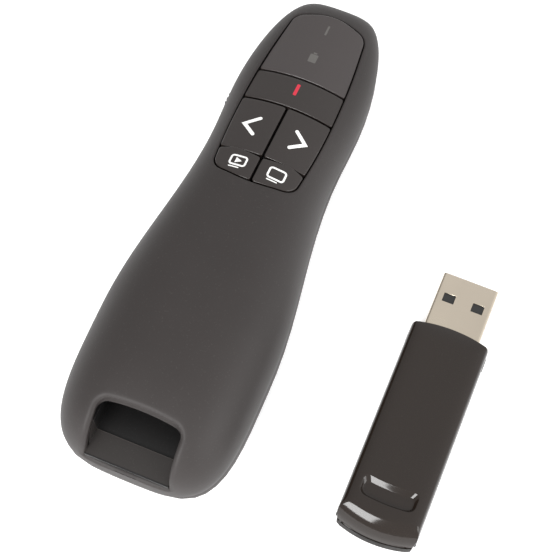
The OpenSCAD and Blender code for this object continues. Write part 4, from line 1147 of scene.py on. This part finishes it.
class Finishes:
    """Every material of the clicker, made once."""

    def __init__(self, colours):
        self.grain, self.wear, self.made = moulded_grain(), handling_wear(), {}
        c = colours
        plastic, metal = self.plastic, self.metal
        plastic("soft_casing", c.casing, 0.56, grain=0.10, depth=0.35, shift=0.05, rubbing=0.12, dust=0.02,
                shader={"Specular IOR Level": 0.3})
        plastic("key_cap", c.keys, 0.30, grain=0.16, depth=0.12, shift=0.04, rubbing=0.10, dust=0.01,
                shader={"Specular IOR Level": 0.42})
        plastic("window", c.window, 0.30, grain=0.2, depth=0.05, shift=0.03, rubbing=0.08, dust=0.01)
        self.bay(c)
        plastic("receiver_gloss", c.gloss, 0.10, grain=0.5, depth=0.008, shift=0.03, rubbing=0.05,
                dust=0.006, shader={"Specular IOR Level": 0.36})
        plastic("receiver_black", tuple(0.6 * v for v in c.gloss[:3]), 0.40, grain=0.2, depth=0.06,
                shift=0.05, shader={"Specular IOR Level": 0.04})
        plastic("switch_knob", (0.25, 0.25, 0.25), 0.42, grain=0.15, depth=0.2)
        plastic("switch_stem", (0.08, 0.08, 0.08), 0.45)
        plastic("switch_stem_white", (0.90, 0.90, 0.88), 0.45)
        plastic("light_guide", (0.92, 0.94, 0.95), 0.25, shader={"Transmission Weight": 0.6})
        plastic("led", (0.95, 0.93, 0.80), 0.3)
        plastic("lens", (0.96, 0.97, 1.0), 0.04, grain=0.5, depth=0.0,
                shader={"Transmission Weight": 0.95, "IOR": 1.5})
        plastic("insulator", (0.10, 0.10, 0.10), 0.42, grain=0.2, depth=0.1)
        plastic("chip", (0.13, 0.13, 0.14), 0.5, grain=0.08, depth=0.3)
        plastic("white_print", c.white_print, 0.55, grain=0.1, depth=0.1, shift=0.02)
        plastic("red_print", c.red_print, 0.5, grain=0.1, depth=0.1, shift=0.03)
        plastic("faint_print", (0.33, 0.32, 0.31), 0.5, grain=0.1, depth=0.1, shift=0.03)
        metal("plug_nickel", c.nickel, 0.24, brushed=0.25)
        metal("brass", (0.80, 0.66, 0.36), 0.3, brushed=0.5)
        metal("diode_steel", (0.72, 0.72, 0.73), 0.3)
        metal("switch_steel", (0.74, 0.74, 0.75), 0.32, brushed=0.6)
        metal("contact_steel", (0.80, 0.79, 0.77), 0.28, brushed=0.4)
        metal("screw_steel", (0.55, 0.55, 0.57), 0.34)
        metal("gold_contact", (0.95, 0.78, 0.42), 0.22)
        self.circuit_board()
        self.cell()
        self.floor()

    def start(self, name):
        """A new material with its shader and the object's own coordinates."""
        material = bpy.data.materials.new(name)
        material.use_nodes = True
        tree = material.node_tree
        shader = tree.nodes["Principled BSDF"]
        place = put(tree, "ShaderNodeTexCoord").outputs["Object"]
        self.made[name] = material
        return material, tree, shader, place

    def plastic(self, name, tint, roughness, grain=0.15, depth=0.15, shift=0.04, rubbing=0.06,
                dust=0.01, shader=None):
        """Moulded plastic: its grain in mm and the depth of it, its shift in tone, and its wear."""
        material, tree, bsdf, place = self.start(name)
        for key, value in (shader or {}).items():
            bsdf.inputs[key].default_value = value
        body = put(tree, "ShaderNodeGroup", {}, node_tree=self.grain)
        body.inputs["Grain size"].default_value = grain
        tree.links.new(place, body.inputs["Place"])
        wear = put(tree, "ShaderNodeGroup", {}, node_tree=self.wear)
        wear.inputs["Colour"].default_value = (*linear(tint), 1.0)
        for key, value in (("Shift", shift), ("Roughness", roughness), ("Rubbing", rubbing),
                           ("Dust", dust)):
            wear.inputs[key].default_value = value
        tree.links.new(place, wear.inputs["Place"])
        tree.links.new(body.outputs["Tone"], wear.inputs["Tone"])
        bump = put(tree, "ShaderNodeBump", {"Strength": depth, "Distance": 0.03 * MM,
                                            "Height": body.outputs["Height"]})
        tree.links.new(wear.outputs["Colour"], bsdf.inputs["Base Color"])
        tree.links.new(wear.outputs["Roughness"], bsdf.inputs["Roughness"])
        tree.links.new(bump.outputs[0], bsdf.inputs["Normal"])
        return material

    def metal(self, name, tint, roughness, brushed=0.0):
        """Metal with light wear, brushed along Y by a share."""
        material = self.plastic(name, tint, roughness, grain=0.3, depth=0.05, shift=0.05, rubbing=0.16,
                                dust=0.004)
        tree = material.node_tree
        bsdf = tree.nodes["Principled BSDF"]
        bsdf.inputs["Metallic"].default_value = 1.0
        if brushed:
            place = next(n for n in tree.nodes if n.type == "TEX_COORD").outputs["Object"]
            pulled = put(tree, "ShaderNodeMapping", {"Vector": place, "Scale": (9000.0, 320.0, 9000.0)})
            lines = put(tree, "ShaderNodeTexNoise", {"Vector": pulled.outputs[0], "Scale": 1.0,
                                                     "Detail": 3.0})
            bump = next(n for n in tree.nodes if n.type == "BUMP")
            bump.inputs["Strength"].default_value = 0.12 * brushed
            tree.links.new(lines.outputs["Fac"], bump.inputs["Height"])

    def bay(self, c):
        """Black lining, with a lighter moulding where the ledge lies in the mouth; the ledge's tail end is
        painted dark as shade, and its forward edge carries a painted highlight line.
        """
        material = self.plastic("bay_black", c.bay, 0.44, grain=0.2, depth=0.2, shift=0.08, rubbing=0.12,
                                dust=0.02, shader={"Specular IOR Level": 0.35})
        tree = material.node_tree
        wear = next(n for n in tree.nodes if n.type == "GROUP" and n.node_tree == self.wear)
        place = next(n for n in tree.nodes if n.type == "TEX_COORD").outputs["Object"]
        along = put(tree, "ShaderNodeSeparateXYZ", {0: place}).outputs["Y"]
        tail_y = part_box("receiver_tray")[0].y
        share = put(tree, "ShaderNodeMapRange", {"Value": along, "From Min": tail_y,
                                                 "From Max": tail_y + LEDGE_L * 1.1}).outputs[0]
        lining = put(tree, "ShaderNodeValToRGB", {"Fac": share})
        lining.color_ramp.interpolation = "CONSTANT"
        # Painted shade along the ledge's tail end, where the groove to the lip lies dark; the ledge; a
        # painted highlight line along its forward edge; then the lining
        stops = [(0.0, c.bay, 1.0), (0.05, c.ledge, 1.0), (0.885, c.ledge, 2.2), (0.915, c.bay, 1.0)]
        ramp = lining.color_ramp.elements
        for k, (at, tint, gain) in enumerate(stops):
            stop = ramp[k] if k < 2 else ramp.new(at)
            stop.position, stop.color = at, (*(gain * v for v in linear(tint)), 1.0)
        tree.links.new(lining.outputs["Color"], wear.inputs["Colour"])

    def circuit_board(self):
        """Green mask with copper tracks that show through it."""
        material = self.plastic("circuit_board", (0.06, 0.30, 0.17), 0.34, grain=0.3, depth=0.05)
        tree = material.node_tree
        wear = next(n for n in tree.nodes if n.type == "GROUP" and n.node_tree == self.wear)
        place = next(n for n in tree.nodes if n.type == "TEX_COORD").outputs["Object"]
        tracks = put(tree, "ShaderNodeTexBrick", {
            "Vector": place, "Scale": 420.0, "Color1": (0.006, 0.07, 0.03, 1),
            "Color2": (0.008, 0.085, 0.035, 1), "Mortar": (0.03, 0.16, 0.06, 1),
            "Mortar Size": 0.04, "Bias": 0.0})
        tree.links.new(tracks.outputs["Color"], wear.inputs["Colour"])

    def cell(self):
        """A dry cell: a printed sleeve with a band in another colour."""
        _, tree, bsdf, place = self.start("cell")
        low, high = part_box("left_cell")
        along = put(tree, "ShaderNodeSeparateXYZ", {0: place}).outputs["Y"]
        share = put(tree, "ShaderNodeMapRange", {"Value": along, "From Min": low.y,
                                                 "From Max": high.y}).outputs[0]
        band = put(tree, "ShaderNodeMath", {0: share, 1: 0.7}, operation="GREATER_THAN").outputs[0]
        sleeve = put(tree, "ShaderNodeMix", {"Factor": band, "A": (0.03, 0.032, 0.035, 1),
                                             "B": (0.45, 0.28, 0.08, 1)}, data_type="RGBA")
        grain = put(tree, "ShaderNodeTexNoise", {"Vector": place, "Scale": 900.0, "Detail": 3.0})
        rough = put(tree, "ShaderNodeMapRange", {"Value": grain.outputs["Fac"], "To Min": 0.22,
                                                 "To Max": 0.36})
        tree.links.new(sleeve.outputs["Result"], bsdf.inputs["Base Color"])
        tree.links.new(rough.outputs[0], bsdf.inputs["Roughness"])
        bsdf.inputs["Coat Weight"].default_value = 0.3

    def floor(self):
        """A plain light table top."""
        _, tree, bsdf, place = self.start("studio_floor")
        mottle = put(tree, "ShaderNodeTexNoise", {"Vector": place, "Scale": 30.0, "Detail": 3.0})
        tint = put(tree, "ShaderNodeMapRange", {"Value": mottle.outputs["Fac"], "To Min": 0.93,
                                                "To Max": 0.97}).outputs[0]
        grey = put(tree, "ShaderNodeCombineColor", {0: tint, 1: tint, 2: tint})
        tree.links.new(grey.outputs[0], bsdf.inputs["Base Color"])
        bsdf.inputs["Roughness"].default_value = 0.9
        bsdf.inputs["Emission Strength"].default_value = 0.3        # a light table
        bsdf.inputs["Emission Color"].default_value = (1, 1, 1, 1)


def linear(tint):
    """A colour as it looks on screen, as the light values that a shader takes."""
    return [((v + 0.055) / 1.055) ** 2.4 if v > 0.04045 else v / 12.92 for v in tint[:3]]


finishes = {}


def finish(name):
    """The material of that name; all are made at the first call."""
    if not finishes:
        finishes.update(Finishes(bpy.context.scene.clicker_colours).made)
    return finishes[name]


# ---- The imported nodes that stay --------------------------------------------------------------

KEPT_NODES = {
    "soft_casing": ["lower_shell", "battery_cover"],
    "bay_black": ["receiver_tray", "key_frame", "laser_bezel"],
    "light_guide": ["light_guide"],
    "led": ["status_leds"],
    "switch_stem": ["laser_stem", "back_stem", "next_stem", "play_stem", "blank_stem"],
    "switch_steel": ["key_switches", "power_switch"],
    "switch_stem_white": ["power_lever"],
    "switch_knob": ["power_knob"],
    "circuit_board": ["main_board", "receiver_board"],
    "chip": ["board_chips", "receiver_chips"],
    "brass": ["laser_barrel"],
    "lens": ["laser_lens"],
    "diode_steel": ["laser_diode"],
    "cell": ["left_cell", "right_cell"],
    "contact_steel": ["cell_springs", "cell_contacts"],
    "receiver_black": ["receiver_base"],
    "plug_nickel": ["plug_shell"],
    "insulator": ["plug_tongue"],
}
CAST_SMOOTH = {"lower_shell", "battery_cover"}      # lofted forms: smoothed, with no bevel
SMALL_ROUND = 0.08                                  # bevel of an edge, in mm
EDGE_ROUND = {"receiver_tray": 0.3, "receiver_base": 0.15, "power_knob": 0.15, "plug_shell": 0.06,
              "laser_bezel": 0.15}                  # where it is another


def dress_node(name, material):
    """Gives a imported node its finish, joined faces, small round edges and smooth shading."""
    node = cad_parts[name]
    node.data.materials.clear()
    node.data.materials.append(material)
    for face in node.data.polygons:
        face.use_smooth = True
    weld = node.modifiers.new("Join", "WELD")
    weld.merge_threshold = 1e-6
    if name not in CAST_SMOOTH:
        flatten = node.modifiers.new("Flat faces", "DECIMATE")
        flatten.decimate_type = "DISSOLVE"
        flatten.angle_limit = math.radians(1)
        bevel = node.modifiers.new("Round edges", "BEVEL")
        bevel.width = EDGE_ROUND.get(name, SMALL_ROUND) * MM
        bevel.segments = 3
        bevel.limit_method = "ANGLE"
        bevel.angle_limit = math.radians(40)
    crisp(node, 40)


# ---- Studio ----------------------------------------------------------------------------------

BRIGHT_SIDE = (0.88, 0.3, 0.15)      # the way to the brighter side of the room
SOFTBOXES = [                        # name, place, aim, size and watts
    ("Right", (0.75, -0.15, 0.32), (0.0, -0.02, 0), (0.5, 0.4), 3.0),
    ("Tail", (-0.111, -0.555, 0.358), (0.0485, -0.0493, 0.006), (0.274, 0.32), 4.7),
]


def softbox(name, place, aim, size, power):
    """A rectangular soft light, turned to what it aims at."""
    light = bpy.data.lights.new(name, "AREA")
    light.shape, light.size, light.size_y = "RECTANGLE", *size
    light.energy = power
    lamp = bpy.data.objects.new(name, light)
    lamp.location = place
    lamp.rotation_euler = (Vector(aim) - Vector(place)).to_track_quat("-Z", "Y").to_euler()
    bpy.context.scene.collection.objects.link(lamp)


def build_studio():
    """The floor, the soft light of the room, two softboxes and the camera."""
    look = bpy.context.scene.studio_look
    floor = bpy.data.meshes.new("studio_floor")
    reach, steps = 1.2, 24
    rows = [(lerp(-reach, reach, i / steps), lerp(-reach, reach, j / steps), 0.0)
            for j in range(steps + 1) for i in range(steps + 1)]
    n = steps + 1
    floor.from_pydata(rows, [], [(j * n + i, j * n + i + 1, (j + 1) * n + i + 1, (j + 1) * n + i)
                                 for j in range(steps) for i in range(steps)])
    floor.materials.append(finish("studio_floor"))
    table = bpy.data.objects.new("studio_floor", floor)
    bpy.context.scene.collection.objects.link(table)
    world = bpy.data.worlds.new("Studio")
    world.use_nodes = True
    sky = world.node_tree
    way = put(sky, "ShaderNodeTexCoord").outputs["Generated"]
    side = put(sky, "ShaderNodeVectorMath", {0: way, 1: BRIGHT_SIDE}, operation="DOT_PRODUCT")
    level = put(sky, "ShaderNodeMapRange", {"Value": side.outputs["Value"], "From Min": -1.0,
                                            "From Max": 1.0, "To Min": 0.6, "To Max": 1.4})
    sky.nodes["Background"].inputs["Color"].default_value = (1, 1, 1, 1)
    sky.links.new(level.outputs[0], sky.nodes["Background"].inputs["Strength"])
    bpy.context.scene.world = world
    for row in SOFTBOXES:
        softbox(*row)
    a, e = look.azimuth, look.elevation
    back = Vector((math.sin(a) * math.cos(e), -math.cos(a) * math.cos(e), math.sin(e)))
    camera = bpy.data.objects.new("Camera", bpy.data.cameras.new("Camera"))
    camera.location = Vector((look.aim_x, look.aim_y, 0)) + back * look.distance
    right = Vector((math.cos(a), math.sin(a), 0))
    up = back.cross(right)
    c, s = math.cos(look.roll), math.sin(look.roll)
    rolled_right = right * c + up * s
    rolled_up = back.cross(rolled_right)
    camera.rotation_euler = Matrix((rolled_right, rolled_up, back)).transposed().to_euler()
    camera.data.lens = look.lens
    camera.data.sensor_width = 36.0
    camera.data.clip_start, camera.data.clip_end = 0.01, 10.0
    bpy.context.scene.collection.objects.link(camera)
    bpy.context.scene.camera = camera
    bpy.context.scene.view_settings.view_transform = "Standard"


# ---- Operators and panel ---------------------------------------------------------------------

def panel_now():
    """The key panel, from the sizes as they are set now."""
    scene = bpy.context.scene
    return KeyPanel(scene.panel_sizes, BackForm(scene.casing_sizes))


class CLICKER_OT_casing(bpy.types.Operator):
    """Builds the back of the casing with its rounded openings"""
    bl_idname = "clicker.casing"
    bl_label = "Casing back"

    def execute(self, context):
        back_shell(finish("soft_casing"))
        return {"FINISHED"}


class CLICKER_OT_keys(bpy.types.Operator):
    """Builds the five keys and the status window"""
    bl_idname = "clicker.keys"
    bl_label = "Keys and window"

    def execute(self, context):
        p = panel_now()
        laser = (0.0, (p.laser_v0 + p.laser_v1) / 2)
        arrow_v, small_v = (p.arrow_v0 + p.laser_v0) / 2, p.arrow_v0 - SMALL_PLUNGER_BACK
        arrow_u, small_u = ARROW_PLUNGER_U, SMALL_PLUNGER_U
        rows = [
            ("laser_cap", "laser_key", "laser_button", p.laser_v0, p.laser_v1, 0, laser),
            ("back_cap", "back_key", "back_button", p.arrow_v0, p.laser_v0, -1, (-arrow_u, arrow_v)),
            ("next_cap", "next_key", "next_button", p.arrow_v0, p.laser_v0, 1, (arrow_u, arrow_v)),
            ("play_cap", "play_key", "play_button", p.low, p.arrow_v0, -1, (-small_u, small_v)),
            ("blank_cap", "blank_key", "blank_button", p.low, p.arrow_v0, 1, (small_u, small_v)),
        ]
        for name, node, body, v0, v1, side, plunger in rows:
            key_cap(name, node, body, p, v0, v1, side, plunger, finish("key_cap"))
        key_cap("window_cap", "status_window", "handset", p, p.laser_v1, p.top, 0, None,
                finish("window"))
        return {"FINISHED"}


class CLICKER_OT_signs(bpy.types.Operator):
    """Prints the arrows and the small signs on the keys"""
    bl_idname = "clicker.signs"
    bl_label = "Printed signs"

    def execute(self, context):
        p, s = panel_now(), context.scene.sign_sizes
        white, line = finish("white_print"), s.fine_stroke
        tip_v, tip_u, arm_u, arm_v = -10.6 * MM, 6.8 * MM, 4.1 * MM, 2.2 * MM
        for side, body, name in ((-1, "back_button", "back_arrow"), (1, "next_button", "next_arrow")):
            arrow = stroke([(side * arm_u, tip_v + arm_v), (side * tip_u, tip_v),
                            (side * arm_u, tip_v - arm_v)], s.arrow_stroke)
            printed(name, body, p, [[arrow]], white)
        red_v = 1.6 * MM
        bar = rounded_box(-s.red_w / 2, red_v - s.red_l / 2, s.red_w / 2, red_v + s.red_l / 2,
                          s.red_w * 0.3)
        printed("laser_sign", "laser_button", p, [[bar]], finish("red_print"))
        u, v, w, h = -4.14 * MM, -20.2 * MM, 3.7 * MM, 2.7 * MM
        rule = underline(u, v, w, h)
        wedge = [(u - 0.6 * MM, v - 0.7 * MM), (u + 0.75 * MM, v), (u - 0.6 * MM, v + 0.7 * MM)]
        printed("play_sign", "play_button", p, [frame_sign(u, v, w, h, line), [wedge], [rule]], white)
        u, w, h = 4.35 * MM, 3.9 * MM, 2.9 * MM
        rule = underline(u, v, w, h)
        printed("blank_sign", "blank_button", p, [frame_sign(u, v, w, h, line), [rule]], white)
        faint = finish("faint_print")
        slit = rounded_box(-0.22 * MM, 18.2 * MM, 0.22 * MM, 21.0 * MM, 0.2 * MM)
        cell = rounded_box(-0.9 * MM, 9.9 * MM, 0.9 * MM, 12.2 * MM, 0.2 * MM)
        nub = rounded_box(-0.4 * MM, 12.35 * MM, 0.4 * MM, 12.75 * MM, 0.1 * MM)
        printed("window_signs", "handset", p, [[slit], [cell], [nub]], faint)
        return {"FINISHED"}


class CLICKER_OT_receiver(bpy.types.Operator):
    """Builds the receiver's glossy top with its thumb grip"""
    bl_idname = "clicker.receiver"
    bl_label = "Receiver top"

    def execute(self, context):
        receiver_top(finish("receiver_gloss"))
        return {"FINISHED"}


class CLICKER_OT_small_parts(bpy.types.Operator):
    """Builds the case screws and the plug's contact fingers"""
    bl_idname = "clicker.small_parts"
    bl_label = "Screws and contacts"

    def execute(self, context):
        low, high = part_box("case_screws")
        r, seat_z = SCREW_HEAD_R, low.z + SCREW_HEAD_H
        rear = [(s * (high.x - r), low.y + r, seat_z) for s in (-1, 1)]
        ahead = [(s * FORWARD_SCREW_X, high.y - r, seat_z) for s in (-1, 1)]
        grown("case_screw_set", screw_tree(), rear + ahead,
              {"Finish": finish("screw_steel"), "Shank length": high.z - seat_z},
              "handset", ["case_screws"])
        low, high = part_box("plug_contacts")
        thick = high.z - low.z
        middle = (low.x + high.x) / 2
        starts = [(middle + x, low.y, low.z + thick * 0.5) for x in CONTACT_XS]
        grown("contact_fingers", finger_tree(), starts,
              {"Finish": finish("gold_contact"), "Length": high.y - low.y, "Thickness": thick},
              "receiver", ["plug_contacts"])
        return {"FINISHED"}


class CLICKER_OT_inner_parts(bpy.types.Operator):
    """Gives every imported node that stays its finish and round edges"""
    bl_idname = "clicker.inner_parts"
    bl_label = "Packed nodes"

    def execute(self, context):
        for name, nodes in KEPT_NODES.items():
            for node in nodes:
                dress_node(node, finish(name))
        return {"FINISHED"}


class CLICKER_OT_studio(bpy.types.Operator):
    """Sets up the floor, the soft lights and the camera"""
    bl_idname = "clicker.studio"
    bl_label = "Studio"

    def execute(self, context):
        build_studio()
        return {"FINISHED"}


class CLICKER_PT_build(bpy.types.Panel):
    bl_idname = "CLICKER_PT_build"
    bl_label = "Presentation clicker"
    bl_space_type = "VIEW_3D"
    bl_region_type = "UI"
    bl_category = "Clicker"

    def draw(self, context):
        for operator in OPERATORS:
            self.layout.operator(operator.bl_idname)
        for label, _ in SETTINGS:
            box = self.layout.box()
            group = getattr(context.scene, label)
            for name in group.__annotations__:
                box.prop(group, name)


OPERATORS = [CLICKER_OT_casing, CLICKER_OT_keys, CLICKER_OT_signs, CLICKER_OT_receiver,
             CLICKER_OT_small_parts, CLICKER_OT_inner_parts, CLICKER_OT_studio]
SETTINGS = [("casing_sizes", CasingSizes), ("panel_sizes", PanelSizes), ("sign_sizes", SignSizes),
            ("receiver_sizes", ReceiverSizes), ("clicker_colours", Colours), ("studio_look", StudioLook)]


def register():
    for label, group in SETTINGS:
        bpy.utils.register_class(group)
        setattr(bpy.types.Scene, label, PointerProperty(type=group))
    for operator in OPERATORS:
        bpy.utils.register_class(operator)
    bpy.utils.register_class(CLICKER_PT_build)


def unregister():
    bpy.utils.unregister_class(CLICKER_PT_build)
    for operator in reversed(OPERATORS):
        bpy.utils.unregister_class(operator)
    for label, group in reversed(SETTINGS):
        delattr(bpy.types.Scene, label)
        bpy.utils.unregister_class(group)


def main():
    register()
    bpy.ops.clicker.casing()
    bpy.ops.clicker.keys()
    bpy.ops.clicker.signs()
    bpy.ops.clicker.receiver()
    bpy.ops.clicker.small_parts()
    bpy.ops.clicker.inner_parts()
    bpy.ops.clicker.studio()


if __name__ == "__main__":
    main()
